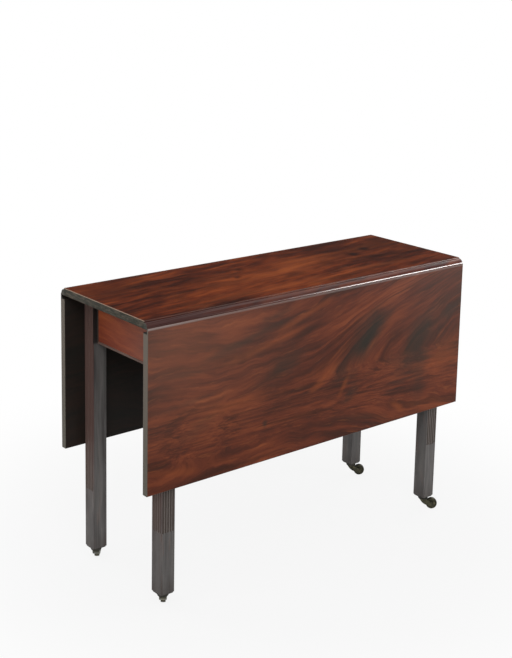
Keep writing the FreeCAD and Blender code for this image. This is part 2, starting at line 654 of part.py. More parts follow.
def make_fly_bracket(side, end, way):
    """Bracket that swings out under a raised leaf: a wooden knuckle at one end and a shaped tip."""
    body = new_body(f"fly_bracket_{side}_{end}")
    bulge = "left" if way > 0 else "right"
    plan = new_sketch(body, "XY_Plane", "rail_low_z")
    outline(plan, [
        (f"{way} * fly_pin_x", "-fly_pin_y - finger_radius", "finger_radius", bulge),
        (f"{way} * (fly_pin_x - finger_radius)", "-fly_pin_y", "finger_radius", bulge),
        (f"{way} * fly_pin_x", "-fly_pin_y + finger_radius"),
        (f"{way} * fly_tip_x", "-fly_pin_y + finger_radius"),
        (f"{way} * fly_tip_x", "-fly_pin_y - finger_radius"),
    ])
    pad(body, plan, "rail_depth - swivel_gap")
    hollow = new_sketch(body, "XZ_Plane", "side_rail_y - overrun")
    outline(hollow, [
        (f"{way} * (fly_tip_x - fly_tip_length)", "rail_low_z", "fly_tip_round", bulge),
        (f"{way} * fly_tip_x", "under_z - fly_tip_depth"),
        (f"{way} * (fly_tip_x + overrun)", "under_z - fly_tip_depth"),
        (f"{way} * (fly_tip_x + overrun)", "rail_low_z - overrun"),
        (f"{way} * (fly_tip_x - fly_tip_length)", "rail_low_z - overrun"),
    ])
    pocket(body, hollow, "fly_rail_thick + 2 * overrun")
    cut_fingers(body, f"{way} * (fly_pin_x - fly_rail_thick)",
                f"{way} * (fly_pin_x + shoulder_reach)", 0, "swivel_gap")
    bore = new_sketch(body, "XY_Plane", "rail_low_z")
    circle(bore, f"{way} * fly_pin_x", "-fly_pin_y", "fly_pin_radius + pin_fit")
    pocket(body, bore, "rail_depth + overrun")
    body.Placement = turn(side)


def make_pin(label, radius, length):
    """Plain round pin along +Z, a pattern for a group."""
    body = new_body(label, is_node=False)
    plan = new_sketch(body, "XY_Plane")
    circle(plan, "0", "0", radius)
    pad(body, plan, length)
    return body


def make_screw(label, head_radius, shank_radius, length):
    """Countersunk screw along +Z with its head's face at the origin, a pattern for a group."""
    body = new_body(label, is_node=False)
    section = new_sketch(body, "XZ_Plane")
    outline(section, [("0", "0"), (head_radius, "0"), (shank_radius, f"{head_radius} - {shank_radius}"),
                      (shank_radius, f"{length} - {shank_radius}"), ("0", length)])
    revolve(body, section, "V_Axis")
    return body


def make_round_screw(label, head_radius, head_height, shank_radius, length):
    """Round-headed screw along +Z, seated at the origin, a pattern for a group."""
    body = new_body(label, is_node=False)
    dome = f"({head_radius} ^ 2 + {head_height} ^ 2) / (2 * {head_height})"
    section = new_sketch(body, "XZ_Plane")
    outline(section, [("0", f"-{head_height}", dome, "right"), (head_radius, "0"), (shank_radius, "0"),
                      (shank_radius, f"{length} - {shank_radius}"), ("0", length)])
    revolve(body, section, "V_Axis")
    return body


def make_hinge_top_plate():
    """Hinge plate of the top, with its two outer knuckles, pin at the origin, a pattern for a group."""
    body = new_body("hinge_top_plate", is_node=False)
    section = new_sketch(body, "YZ_Plane", "-hinge_length / 2")
    outline(section, [
        ("top_plate_reach", "-leaf_back"), ("top_plate_reach", "-leaf_back + plate_thick"),
        ("barrel_radius", "-leaf_back + plate_thick"), ("barrel_radius", "0"),
        ("0", "0"), ("0", "-leaf_back"),
    ])
    pad(body, section, "hinge_length")
    add_barrel(body, "hinge_length")
    room = new_sketch(body, "XY_Plane", "-leaf_back - overrun")
    rectangle(room, ("-middle_knuckle / 2 - knuckle_gap", "-barrel_radius - overrun"),
              ("middle_knuckle / 2 + knuckle_gap", "barrel_room"))
    pocket(body, room, "board_thick + 2 * overrun")
    bore_barrel(body)
    holes = new_sketch(body, "XY_Plane", "-leaf_back")
    for way in (-1, 1):
        circle(holes, f"{way} * screw_spread", "near_screw", "hinge_shank_radius + pin_fit")
    countersinks(body, holes, "hinge_head_radius", "hinge_shank_radius")
    return body


def add_barrel(body, length):
    """Add a round barrel about the pin."""
    barrel = new_sketch(body, "YZ_Plane", f"-({length}) / 2")
    circle(barrel, "0", "0", "barrel_radius")
    pad(body, barrel, length)


def bore_barrel(body):
    """Bore the barrel for the hinge pin."""
    bore = new_sketch(body, "YZ_Plane", "-hinge_length / 2 - overrun")
    circle(bore, "0", "0", "hinge_pin_radius + pin_fit")
    pocket(body, bore, "hinge_length + 2 * overrun")


def make_hinge_leaf_plate():
    """Hinge plate of a hanging front leaf, with the middle knuckle, a pattern for a group."""
    body = new_body("hinge_leaf_plate", is_node=False)
    plate = new_sketch(body, "XZ_Plane", "-leaf_back")
    rectangle(plate, ("-hinge_length / 2", "-leaf_plate_reach"), ("hinge_length / 2", "-barrel_room"))
    pad(body, plate, "plate_thick")
    web = new_sketch(body, "YZ_Plane", "-middle_knuckle / 2")
    rectangle(web, ("0", "-barrel_room"), ("leaf_back", "0"))
    pad(body, web, "middle_knuckle")
    add_barrel(body, "middle_knuckle")
    bore_barrel(body)
    holes = new_sketch(body, "XZ_Plane", "-leaf_back")
    for way, drop in ((-1, "near_screw"), (1, "near_screw"), (0, "far_screw")):
        circle(holes, f"{way} * screw_spread", f"-{drop}", "hinge_shank_radius + pin_fit")
    countersinks(body, holes, "hinge_head_radius", "hinge_shank_radius")
    return body


def make_hinges():
    """Plates, pins and screws of the table hinges on both sides."""
    top_plate, leaf_plate = make_hinge_top_plate(), make_hinge_leaf_plate()
    pin = make_pin("hinge_pin", "hinge_pin_radius", "hinge_length - 2 * knuckle_gap")
    screw = make_screw("hinge_screw", "hinge_head_radius", "hinge_shank_radius", "hinge_screw_length")
    pin_y, pin_z, spacing = number("pin_y"), number("pin_z"), number("hinge_spacing")
    under_z, back_y = number("under_z"), number("leaf_back_y")
    near, far, spread = number("near_screw"), number("far_screw"), number("screw_spread")
    pin_start = number("hinge_length / 2 - knuckle_gap")
    along_x, outward = Rotation(Vector(0, 1, 0), 90), Rotation(Vector(1, 0, 0), 90)
    top_screws = []
    for side in SIDES:
        places_x = [spot * spacing for spot in HINGE_SPOTS]
        on_pin = [turn(side) * Placement(Vector(x, -pin_y, pin_z), Rotation()) for x in places_x]
        group(f"hinge_top_plates_{side}", top_plate, on_pin)
        group(f"hinge_leaf_plates_{side}", leaf_plate, on_pin)
        group(f"hinge_pins_{side}", pin, [
            turn(side) * Placement(Vector(x - pin_start, -pin_y, pin_z), along_x) for x in places_x])
        leaf_spots = [(x + way * spread, pin_z - drop) for x in places_x
                      for way, drop in ((-1, near), (1, near), (0, far))]
        group(f"hinge_leaf_screws_{side}", screw, [
            turn(side) * Placement(Vector(x, -back_y, z), outward) for x, z in leaf_spots])
        top_screws += [
            turn(side) * Placement(Vector(x + way * spread, near - pin_y, under_z), Rotation())
            for x in places_x for way in (-1, 1)]
    group("hinge_top_screws", screw, top_screws)


def make_fixings():
    """Bracket pins, top screws and glue blocks."""
    pin = make_pin("fly_pin", "fly_pin_radius", "rail_depth - swivel_gap")
    pin_x, pin_y, pin_low = number("fly_pin_x"), number("fly_pin_y"), number("rail_low_z")
    group("fly_pins", pin, [
        Placement(Vector(way * pin_x, sign * pin_y, pin_low), Rotation())
        for sign in (-1, 1) for way in (-1, 1)])
    screw = make_round_screw("top_screw", "top_head_radius", "top_head_height", "top_shank_radius",
                             "top_screw_length")
    seat_z = number("screw_seat_z")
    group("top_screws", screw, [
        Placement(Vector(number(x), number(y), seat_z), Rotation()) for x, y in top_screw_spots()])
    block = new_body("glue_block", is_node=False)
    section = new_sketch(block, "YZ_Plane", "-block_length / 2")
    outline(section, [("0", "0"), ("0", "-block_side"), ("block_side", "0")])
    pad(block, section, "block_length")
    block_x, rail_y = number("block_share * leg_in_x"), number("side_rail_in_y")
    under_z = number("under_z")
    spots = [Placement(Vector(way * block_x, -rail_y, under_z), Rotation()) for way in (-1, 1)]
    spots.append(Placement(Vector(number("end_rail_in_x"), 0, under_z), Rotation(UP, 90)))
    group("glue_blocks", block, [turn(side) * spot for side in SIDES for spot in spots])


def make_castor_plate(corner):
    """Castor plate screwed under the leg, with the round boss that the horn turns in."""
    body = new_body(f"castor_plate_{corner}")
    plan = new_sketch(body, "XY_Plane", "castor_plate_z")
    rectangle(plan, ("-castor_plate_width / 2", "-castor_plate_width / 2"),
              ("castor_plate_width / 2", "castor_plate_width / 2"))
    pad(body, plan, "castor_plate_thick")
    corner_at = number("castor_plate_width / 2")
    round_edges(body, "castor_plate_round", lambda edge: any(
        lies_at(edge, x=way_x * corner_at, y=way_y * corner_at)
        for way_x in (-1, 1) for way_y in (-1, 1)))
    boss = new_sketch(body, "XY_Plane", "boss_low_z")
    circle(boss, "0", "0", "boss_radius")
    pad(body, boss, "boss_height")
    low_z = number("boss_low_z")
    round_edges(body, "boss_round", lambda edge: lies_at(edge, z=low_z))
    bore = new_sketch(body, "XY_Plane", "boss_low_z - overrun")
    circle(bore, "0", "0", "pintle_radius + pintle_fit")
    pocket(body, bore, "castor_height")
    holes = new_sketch(body, "XY_Plane", "castor_plate_z")
    for way_x in (-1, 1):
        for way_y in (-1, 1):
            circle(holes, f"{way_x} * castor_screw_at", f"{way_y} * castor_screw_at",
                   "castor_shank_radius + pin_fit")
    countersinks(body, holes, "castor_head_radius", "castor_shank_radius")
    place_at_leg(body, corner)


def place_at_leg(body, corner, trailing=False):
    """Put a castor piece under its leg, turned the way the castor trails if it swivels."""
    sign_x, sign_y, trail = CORNERS[corner]
    body.Placement = Placement(Vector(sign_x * number("leg_mid_x"), sign_y * number("leg_mid_y"), 0),
                               Rotation(UP, trail if trailing else 0))


def place_on_axle(body, corner):
    """Put a piece that is modelled about its own middle on a castor's axle."""
    place_at_leg(body, corner, trailing=True)
    axle = Vector(number("castor_trail"), 0, number("wheel_radius"))
    body.Placement = body.Placement * Placement(axle, Rotation())


def make_castor_horn(corner):
    """Horn of a castor: pintle with a rivet head, a disc, and two cheeks that trail down to the axle."""
    body = new_body(f"castor_horn_{corner}")
    top_x, top_z = (f"castor_trail + cheek_radius * {ratio(CHEEK_TOP_ANGLE, math.cos)}",
                    f"wheel_radius + cheek_radius * {ratio(CHEEK_TOP_ANGLE, math.sin)}")
    low_x, low_z = (f"castor_trail + cheek_radius * ({ratio(CHEEK_LOW_ANGLE, math.cos)})",
                    f"wheel_radius + cheek_radius * ({ratio(CHEEK_LOW_ANGLE, math.sin)})")
    cheeks = new_sketch(body, "XZ_Plane", "-horn_width / 2")
    outline(cheeks, [
        ("-horn_back", "horn_base_z", "horn_sweep", "right"),
        (low_x, low_z, "cheek_radius", "right"),
        (top_x, top_z),
        ("horn_back", "horn_base_z"),
    ])
    pad(body, cheeks, "horn_width")
    slot = new_sketch(body, "XZ_Plane", "-slot_width / 2")
    circle(slot, "castor_trail", "wheel_radius", "wheel_radius + wheel_tread_gap")
    pocket(body, slot, "slot_width")
    for low, high, radius in (("horn_base_z", "horn_top_z", "horn_base_radius"),
                              ("horn_base_z", "pintle_top_z", "pintle_radius"),
                              ("pintle_top_z", "pintle_top_z + rivet_height", "rivet_radius")):
        plan = new_sketch(body, "XY_Plane", low)
        circle(plan, "0", "0", radius)
        pad(body, plan, f"{high} - ({low})")
    bore = new_sketch(body, "XZ_Plane", "-horn_width / 2 - overrun")
    circle(bore, "castor_trail", "wheel_radius", "axle_bore")
    pocket(body, bore, "horn_width + 2 * overrun")
    place_at_leg(body, corner, trailing=True)


def ratio(angle, function):
    """Plain number of a cosine or sine, for a formula."""
    return f"{function(math.radians(angle)):.6f}"


def make_castor_wheel(corner):
    """Castor wheel: crowned tread, dished faces and a hub."""
    body = new_body(f"castor_wheel_{corner}")
    section = new_sketch(body, "YZ_Plane")
    crown = "((wheel_width / 2) ^ 2 + wheel_crown ^ 2) / (2 * wheel_crown)"
    half, dished = "wheel_width / 2", "wheel_width / 2 - wheel_dish"
    edge, rim = "wheel_radius - wheel_crown", "wheel_radius - wheel_rim"
    outline(section, [
        (half, "axle_bore"), (half, "wheel_hub_radius"), (dished, "wheel_hub_radius + wheel_dish / 2"),
        (dished, f"{rim} - wheel_dish / 2"), (half, rim), (half, edge, crown, "right"),
        (f"-({half})", edge), (f"-({half})", rim), (f"-({dished})", f"{rim} - wheel_dish / 2"),
        (f"-({dished})", "wheel_hub_radius + wheel_dish / 2"), (f"-({half})", "wheel_hub_radius"),
        (f"-({half})", "axle_bore"),
    ])
    revolve(body, section, "H_Axis")
    place_on_axle(body, corner)


def make_castor_axle(corner):
    """Castor axle, riveted over outside the cheeks."""
    body = new_body(f"castor_axle_{corner}")
    section = new_sketch(body, "YZ_Plane")
    cheek, end = "horn_width / 2", "horn_width / 2 + axle_head_height"
    dome = "(axle_head_radius ^ 2 + axle_head_height ^ 2) / (2 * axle_head_height)"
    outline(section, [
        (f"-({end})", "0"), (end, "0", dome, "right"),
        (cheek, "axle_head_radius"), (cheek, "axle_radius"),
        (f"-({cheek})", "axle_radius"), (f"-({cheek})", "axle_head_radius", dome, "right"),
    ])
    revolve(body, section, "H_Axis")
    place_on_axle(body, corner)


def make_castor_screws():
    """Screws of the castor plates."""
    screw = make_screw("castor_screw", "castor_head_radius", "castor_shank_radius",
                       "castor_screw_length")
    mid_x, mid_y = number("leg_mid_x"), number("leg_mid_y")
    off, head_z = number("castor_screw_at"), number("castor_plate_z")
    feet = [(sign_x * mid_x, sign_y * mid_y) for sign_x in (-1, 1) for sign_y in (-1, 1)]
    group("castor_screws", screw, [
        Placement(Vector(x + way_x * off, y + way_y * off, head_z), Rotation())
        for x, y in feet for way_x in (-1, 1) for way_y in (-1, 1)])


def write_parts():
    """Check every object and write each sub-part's shape."""
    doc.recompute()
    for item in doc.Objects:
        if "Invalid" in item.State or "Error" in item.State:
            raise RuntimeError(f"{item.Label} failed: {item.State}")
    for node in nodes:
        if node.Shape.isNull() or not node.Shape.isValid():
            raise RuntimeError(f"{node.Label} has no valid shape")
    os.makedirs("parts", exist_ok=True)
    for node in nodes:
        node.Shape.exportStep(f"parts/{node.Label}.step")
    print(f"{len(nodes)} sub-parts written")


def main():
    """Build the table."""
    fill_sheets()
    make_top()
    for side in SIDES:
        make_leaf(side)
        make_side_rail(side)
        make_fly_rail(side)
    # The rear pieces are made at the front and turned half round, which swaps their ends.
    for side, ends in (("front", ("left", "right")), ("rear", ("right", "left"))):
        for end, way in zip(ends, (-1, 1)):
            make_fly_bracket(side, end, way)
    make_end_rail("left", 0)
    make_end_rail("right", 180)
    make_hinges()
    make_fixings()
    for corner in CORNERS:
        make_leg(corner)
        make_castor_plate(corner)
        make_castor_horn(corner)
        make_castor_wheel(corner)
        make_castor_axle(corner)
    make_castor_screws()
    write_parts()


main()
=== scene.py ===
"""Dress an old mahogany Pembroke table and set it in a pale studio.

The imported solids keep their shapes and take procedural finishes. The small
screws are modelled here, with their slots, and stand for their plain solids.
All lengths are in metres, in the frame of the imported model.
"""

from __future__ import annotations

import json
import logging
import math
from collections.abc import Callable
from dataclasses import dataclass, replace
from enum import Enum
from functools import cache, reduce

import bpy
from mathutils import Matrix, Vector

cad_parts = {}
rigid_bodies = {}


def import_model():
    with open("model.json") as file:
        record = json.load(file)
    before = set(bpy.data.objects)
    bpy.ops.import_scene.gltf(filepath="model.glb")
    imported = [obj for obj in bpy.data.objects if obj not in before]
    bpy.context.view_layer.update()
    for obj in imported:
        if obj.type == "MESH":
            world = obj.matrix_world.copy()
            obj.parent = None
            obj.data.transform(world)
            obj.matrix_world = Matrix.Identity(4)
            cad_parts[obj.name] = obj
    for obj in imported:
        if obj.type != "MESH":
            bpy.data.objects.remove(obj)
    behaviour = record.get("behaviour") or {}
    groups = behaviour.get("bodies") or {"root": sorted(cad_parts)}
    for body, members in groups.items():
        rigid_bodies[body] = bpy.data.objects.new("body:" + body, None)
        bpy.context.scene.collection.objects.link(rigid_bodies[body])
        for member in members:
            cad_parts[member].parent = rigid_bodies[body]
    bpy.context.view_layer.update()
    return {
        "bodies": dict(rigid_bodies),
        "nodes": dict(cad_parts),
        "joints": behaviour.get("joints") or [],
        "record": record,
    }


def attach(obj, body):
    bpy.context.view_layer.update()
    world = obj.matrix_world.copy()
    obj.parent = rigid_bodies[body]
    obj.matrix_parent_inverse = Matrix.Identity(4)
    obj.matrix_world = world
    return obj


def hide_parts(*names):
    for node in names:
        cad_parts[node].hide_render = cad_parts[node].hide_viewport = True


log = logging.getLogger("pembroke_table")

Socket = bpy.types.NodeSocket
Value = Socket | float
Place = tuple[Value, Value, Value]
Colour = tuple[int, int, int]
Stops = tuple[tuple[float, Colour], ...]
MM = 0.001
TOUCH = 1e-6
LEVEL = 0.99
DIGITS = 7
SORT_FROM = (0.0130, 0.0047, -0.0021)


def linear(colour: Colour) -> tuple[float, float, float, float]:
    """Turn a display colour of 0 to 255 into a shader's linear colour, with full cover."""
    red, green, blue = (p / 12.92 if p <= 0.04045 else ((p + 0.055) / 1.055) ** 2.4
                        for p in (part / 255 for part in colour))
    return red, green, blue, 1.0


class NodeGraph:
    """A material's node tree, filled from the surface's place to the shader."""

    def __init__(self, name: str) -> None:
        """Start a material with a shader and the place of each point of the surface.

        Args:
            name: Name of the new material.
        """
        self.material = bpy.data.materials.new(name)
        self.material.use_nodes = True
        self.tree = self.material.node_tree
        self.tree.nodes.clear()
        self.shader = self.node("BsdfPrincipled")
        self.output = self.node("OutputMaterial", {"Surface": self.shader.outputs["BSDF"]})
        axes = self.node("SeparateXYZ", {0: self.node("TexCoord").outputs["Object"]})
        self.here = tuple(axes.outputs)
        self.x, self.y, self.z = self.here

    def node(self, kind: str, inputs: dict[int | str, object] | None = None,
             **settings: object) -> bpy.types.Node:
        """Add a node.

        Args:
            kind: Blender's name of the node's type, without ShaderNode.
            inputs: What its inputs take, by their place or name.
            settings: Properties to set on it.

        Returns:
            The new node.
        """
        node = self.tree.nodes.new(f"ShaderNode{kind}")
        for name, value in settings.items():
            setattr(node, name, value)
        for key, value in (inputs or {}).items():
            self.feed(node.inputs[key], value)
        return node

    def feed(self, target: Socket, value: object) -> None:
        """Link a socket to an input, or set a plain value there.

        Args:
            target: Input that takes the value.
            value: Another node's output, a number or a colour.
        """
        if isinstance(value, Socket):
            self.tree.links.new(value, target)
        else:
            target.default_value = value

    def math(self, operation: str, *values: Value) -> Socket:
        """Work out a number from others, by Blender's name of the operation."""
        node = self.node("Math", dict(enumerate(values)), operation=operation)
        return node.outputs[0]

    def sum(self, *terms: Value) -> Socket:
        """Add two numbers or more."""
        return reduce(lambda total, term: self.math("ADD", total, term), terms)

    def times(self, value: Value, factor: Value) -> Socket:
        """Multiply two numbers."""
        return self.math("MULTIPLY", value, factor)

    def less(self, value: Value, part: Value) -> Socket:
        """Take one number from another."""
        return self.math("SUBTRACT", value, part)

    def larger(self, value: Value, other: Value) -> Socket:
        """Give the larger of two numbers."""
        return self.math("MAXIMUM", value, other)

    def absolute(self, value: Value) -> Socket:
        """Drop a number's sign."""
        return self.math("ABSOLUTE", value)

    def square(self, value: Value) -> Socket:
        """Multiply a number by itself."""
        return self.math("POWER", value, 2.0)

    def root(self, value: Value) -> Socket:
        """Take a square root."""
        return self.math("SQRT", value)

    def length(self, along: Value, across: Value) -> Socket:
        """Measure the slant of two lengths at right angles."""
        return self.root(self.sum(self.square(along), self.square(across)))

    def centred(self, pattern: Socket) -> Socket:
        """Shift a pattern so that its middle is 0."""
        return self.less(pattern, 0.5)

    def point(self, x: Value, y: Value, z: Value) -> Socket:
        """Join three numbers into a vector."""
        return self.node("CombineXYZ", {0: x, 1: y, 2: z}).outputs[0]

    def noise(self, at: Socket, scale: float, detail: float = 3.0, roughness: float = 0.55,
              twist: float = 0.0) -> Socket:
        """Smooth noise from about 0.25 to 0.75, with its scale in spots in a metre."""
        inputs = {"Vector": at, "Scale": scale, "Detail": detail, "Roughness": roughness,
                  "Distortion": twist}
        return self.node("TexNoise", inputs, noise_dimensions="3D").outputs["Fac"]

    def streaks(self, place: Place, counts: tuple[float, float, float], detail: float,
                roughness: float = 0.55) -> Socket:
        """Noise with its own count of spots in a metre along each of three axes."""
        return self.noise(self.point(*map(self.times, place, counts)), 1.0, detail, roughness)

    def rise(self, value: Value, low: float, high: float) -> Socket:
        """Go softly from 0 at the low value to 1 at the high one, which may lie below it."""
        node = self.node("MapRange", {"Value": value, "From Min": low, "From Max": high},
                         interpolation_type="SMOOTHSTEP")
        return node.outputs["Result"]

    def ramp(self, value: Socket, stops: Stops) -> Socket:
        """Colour a number by a row of stops.

        Args:
            value: Number from 0 to 1.
            stops: Places and display colours, in rising order.

        Returns:
            The colour.
        """
        node = self.node("ValToRGB", {0: value})
        row = node.color_ramp.elements
        while len(row) < len(stops):
            row.new(0.5)
        for element, (place, colour) in zip(row, stops):
            element.position = place
            element.color = linear(colour)
        return node.outputs["Color"]

    def tint(self, colour: Socket, layer: Layer) -> Socket:
        """Lay a layer over a colour.

        Args:
            colour: Colour that lies below.
            layer: The layer.

        Returns:
            The mixed colour.
        """
        tone = linear(layer.tone) if isinstance(layer.tone, tuple) else layer.tone
        inputs = {0: self.times(layer.share, layer.cover), 6: colour, 7: tone}
        return self.node("Mix", inputs, data_type="RGBA", blend_type="MIX").outputs[2]

    def emboss(self, height: Socket, strength: float, depth: float) -> None:
        """Raise the surface by a pattern from 0 to 1, with the depth of a full step."""
        node = self.node("Bump", {"Strength": strength, "Distance": depth, "Height": height})
        self.feed(self.shader.inputs["Normal"], node.outputs["Normal"])

    def finish(self, colour: Socket, roughness: Value, **plain: float) -> bpy.types.Material:
        """Hand colour, roughness and the plain values to the shader.

        Args:
            colour: Base colour.
            roughness: Roughness, or a pattern of it.
            plain: Values of other shader sockets, with _ for a space.

        Returns:
            The finished material.
        """
        self.feed(self.shader.inputs["Base Color"], colour)
        self.feed(self.shader.inputs["Roughness"], roughness)
        for name, value in plain.items():
            self.shader.inputs[name.replace("_", " ")].default_value = value
        return self.material


class Grain(Enum):
    """The way that the fibres of a board run."""

    LENGTHWISE = "along the table"
    FLAME = "parting round a fork"
    UPRIGHT = "up the leg"
    CROSSWISE = "across the table"


@dataclass(frozen=True)
class Oval:
    """A patch of the figure: its middle and half sizes, in the plane of a board."""

    along: float
    across: float
    long: float
    wide: float


@dataclass(frozen=True)
class Smudge(Oval):
    """A dark or bright cloud."""

    turn: float
    depth: float


@dataclass(frozen=True)
class Eddy(Oval):
    """A place where the fibres bend round, as over a crotch."""

    lift: float


def clouds(*rows: tuple[float, float, float, float, float, float]) -> tuple[Smudge, ...]:
    """Make smudges from rows of along, across, long, wide, turn and depth."""
    return tuple(Smudge(*row) for row in rows)


@dataclass(frozen=True)
class Band:
    """Streaks of one width: spots in a metre along and across, steps of detail, strength."""

    along: float
    across: float
    detail: float
    strength: float


@dataclass(frozen=True)
class Marks:
    """Short marks along the fibres: spots in a metre, and the noise that makes a mark."""

    along: float
    across: float
    deep: float
    detail: float
    start: float
    full: float

    def share(self, graph: NodeGraph, fibres: Place) -> Socket:
        """Give 1 on a mark and 0 beside it, from lengths along, across and deep."""
        noise = graph.streaks(fibres, (self.along, self.across, self.deep), self.detail)
        return graph.rise(noise, self.start, self.full)


@dataclass(frozen=True)
class Layer:
    """A tone that lies over the figure, by a pattern and its greatest cover."""

    share: Value
    cover: float
    tone: Colour | Socket


FLECKS = Marks(13.0, 110.0, 60.0, 3.0, 0.56, 0.74)
VEINS = Marks(3.2, 30.0, 12.0, 3.0, 0.51, 0.68)
PORES = Marks(55.0, 1400.0, 700.0, 1.0, 0.60, 0.72)
FINE_BANDS = (Band(12.0, 130.0, 3.0, 0.30), Band(22.0, 400.0, 2.0, 0.14))
BAND_DEPTH = 0.4
BROAD_BEND, RIPPLE_BEND = 2.0, 0.45
# Pale grey of the painted sheen on the leaves and the frieze.
PAINTED_SHEEN_TONE: Colour = (150, 128, 116)


@dataclass(frozen=True)
class Timber:
    """Finish of a board: figure, tone, pores, layers of wear and polish."""

    name: str
    grain: Grain
    tones: Stops
    streaks_along: float = 5.0
    streaks_across: float = 44.0
    swirl: float = 0.03
    streak: float = 0.8
    cloud: float = 0.9
    mottle: float = 0.0
    veins: float = 0.0
    flecks: float = 0.3
    pores: float = 0.35
    roughness: float = 0.38
    polish: float = 0.12
    pore_depth: float = 0.0003
    pore_relief: float = 0.25
    wear: float = 0.16
    shift: float = 0.0
    lean: float = 0.0
    smudges: tuple[Smudge, ...] = ()
    glows: tuple[Smudge, ...] = ()
    fleck_tone: Colour = (150, 84, 48)
    vein_tone: Colour = (47, 27, 20)
    pore_tone: Colour = (34, 19, 14)
    smudge_tone: Colour = (38, 38, 33)
    glow_tone: Colour = (150, 78, 42)

    def axes(self, graph: NodeGraph) -> Place:
        """Find the directions along the fibres, across them and into the board.

        Args:
            graph: Graph of the material.

        Returns:
            Lengths along, across and deep.
        """
        if self.grain is Grain.UPRIGHT:
            return graph.z, graph.x, graph.y
        if self.grain is Grain.CROSSWISE:
            return graph.y, graph.z, graph.x
        return graph.x, graph.less(graph.y, graph.times(graph.x, self.lean)), graph.z

    def reach(self, graph: NodeGraph, spot: Oval, turn: float) -> Socket:
        """Measure how far a point lies from a spot, as a share of the spot's oval.

        Args:
            graph: Graph of the material.
            spot: Place and size of the oval.
            turn: Angle of its long axis.

        Returns:
            0 in the middle and 1 at the rim.
        """
        upright = self.grain is Grain.FLAME
        along = graph.less(graph.x, spot.along)
        across = graph.less(graph.z if upright else graph.y, spot.across)
        cos, sin = math.cos(turn), math.sin(turn)
        lengthwise = graph.sum(graph.times(along, cos / spot.long),
                               graph.times(across, sin / spot.long))
        sideways = graph.sum(graph.times(along, -sin / spot.wide),
                             graph.times(across, cos / spot.wide))
        return graph.length(lengthwise, sideways)

    def layers(self, graph: NodeGraph) -> list[Layer]:
        """List what lies over the figure of one kind of board: here nothing."""
        return []

    def sheen(self, graph: NodeGraph, roughness: Socket) -> Socket:
        """Vary the roughness where one kind of board needs it: here nowhere."""
        return roughness

    def open_pores(self, graph: NodeGraph, pores: Socket) -> Socket:
        """Say where the polish leaves the pores open: here all over the board."""
        return pores

    def gloss(self, graph: NodeGraph) -> Value:
        """Give the strength of the polish: here the same all over the board."""
        return self.polish

    def figure(self, graph: NodeGraph) -> tuple[Socket, Socket]:
        """Make the streaks, clouds and pores of the wood.

        Args:
            graph: Graph of the material.

        Returns:
            Colour of the figure, and the pores' pattern.
        """
        along, across, deep = self.axes(graph)
        run = graph.sum(along, self.shift)
        place = graph.point(run, across, deep)
        broad = graph.noise(place, 3.4, 2.0, 0.5)
        ripple = graph.noise(place, 13.0, 3.0)
        bent = graph.sum(across, graph.times(graph.centred(broad), self.swirl * BROAD_BEND),
                         graph.times(graph.centred(ripple), self.swirl * RIPPLE_BEND))
        fibres = run, bent, deep
        shade: Value = 0.5
        for band in (Band(2.4, 9.0, 2.0, self.cloud),
                     Band(self.streaks_along, self.streaks_across, 3.0, self.streak),
                     Band(17.0, 80.0, 3.0, self.mottle), *FINE_BANDS):
            counts = band.along, band.across, band.across * BAND_DEPTH
            streaks = graph.streaks(fibres, counts, band.detail, 0.5)
            shade = graph.sum(shade, graph.times(graph.centred(streaks), band.strength))
        colour = graph.ramp(shade, self.tones)
        pores = PORES.share(graph, fibres)
        for layer in (Layer(FLECKS.share(graph, fibres), self.flecks, self.fleck_tone),
                      Layer(VEINS.share(graph, fibres), self.veins, self.vein_tone),
                      Layer(pores, self.pores, self.pore_tone)):
            colour = graph.tint(colour, layer)
        for tone, spots in ((self.glow_tone, self.glows), (self.smudge_tone, self.smudges)):
            for spot in spots:
                share = self.cloud_share(graph, spot, ripple)
                colour = graph.tint(colour, Layer(share, spot.depth, tone))
        return colour, pores

    def cloud_share(self, graph: NodeGraph, spot: Smudge, ripple: Socket) -> Socket:
        """Cover an oval with a ragged edge.

        Args:
            graph: Graph of the material.
            spot: Place and size of the oval.
            ripple: Noise that frays its edge.

        Returns:
            1 in the middle, and 0 past the edge.
        """
        fray, rim = 1.6, 1.3
        reach = self.reach(graph, spot, spot.turn)
        return graph.rise(graph.sum(reach, graph.times(graph.centred(ripple), fray)), rim, 0.0)

    def build(self) -> bpy.types.Material:
        """Make the material.

        Returns:
            The finished wood.
        """
        graph = NodeGraph(self.name)
        colour, pores = self.figure(graph)
        for layer in self.layers(graph):
            colour = graph.tint(colour, layer)
        worn = graph.noise(graph.point(*graph.here), 14.0, 3.0)
        roughness = self.sheen(graph, graph.sum(
            self.roughness, graph.times(graph.centred(worn), self.wear)))
        raised = graph.less(1.0, self.open_pores(graph, pores))
        graph.emboss(raised, self.pore_relief, self.pore_depth)
        material = graph.finish(colour, roughness, Specular_IOR_Level=self.polish)
        graph.feed(graph.shader.inputs["Specular IOR Level"], self.gloss(graph))
        return material


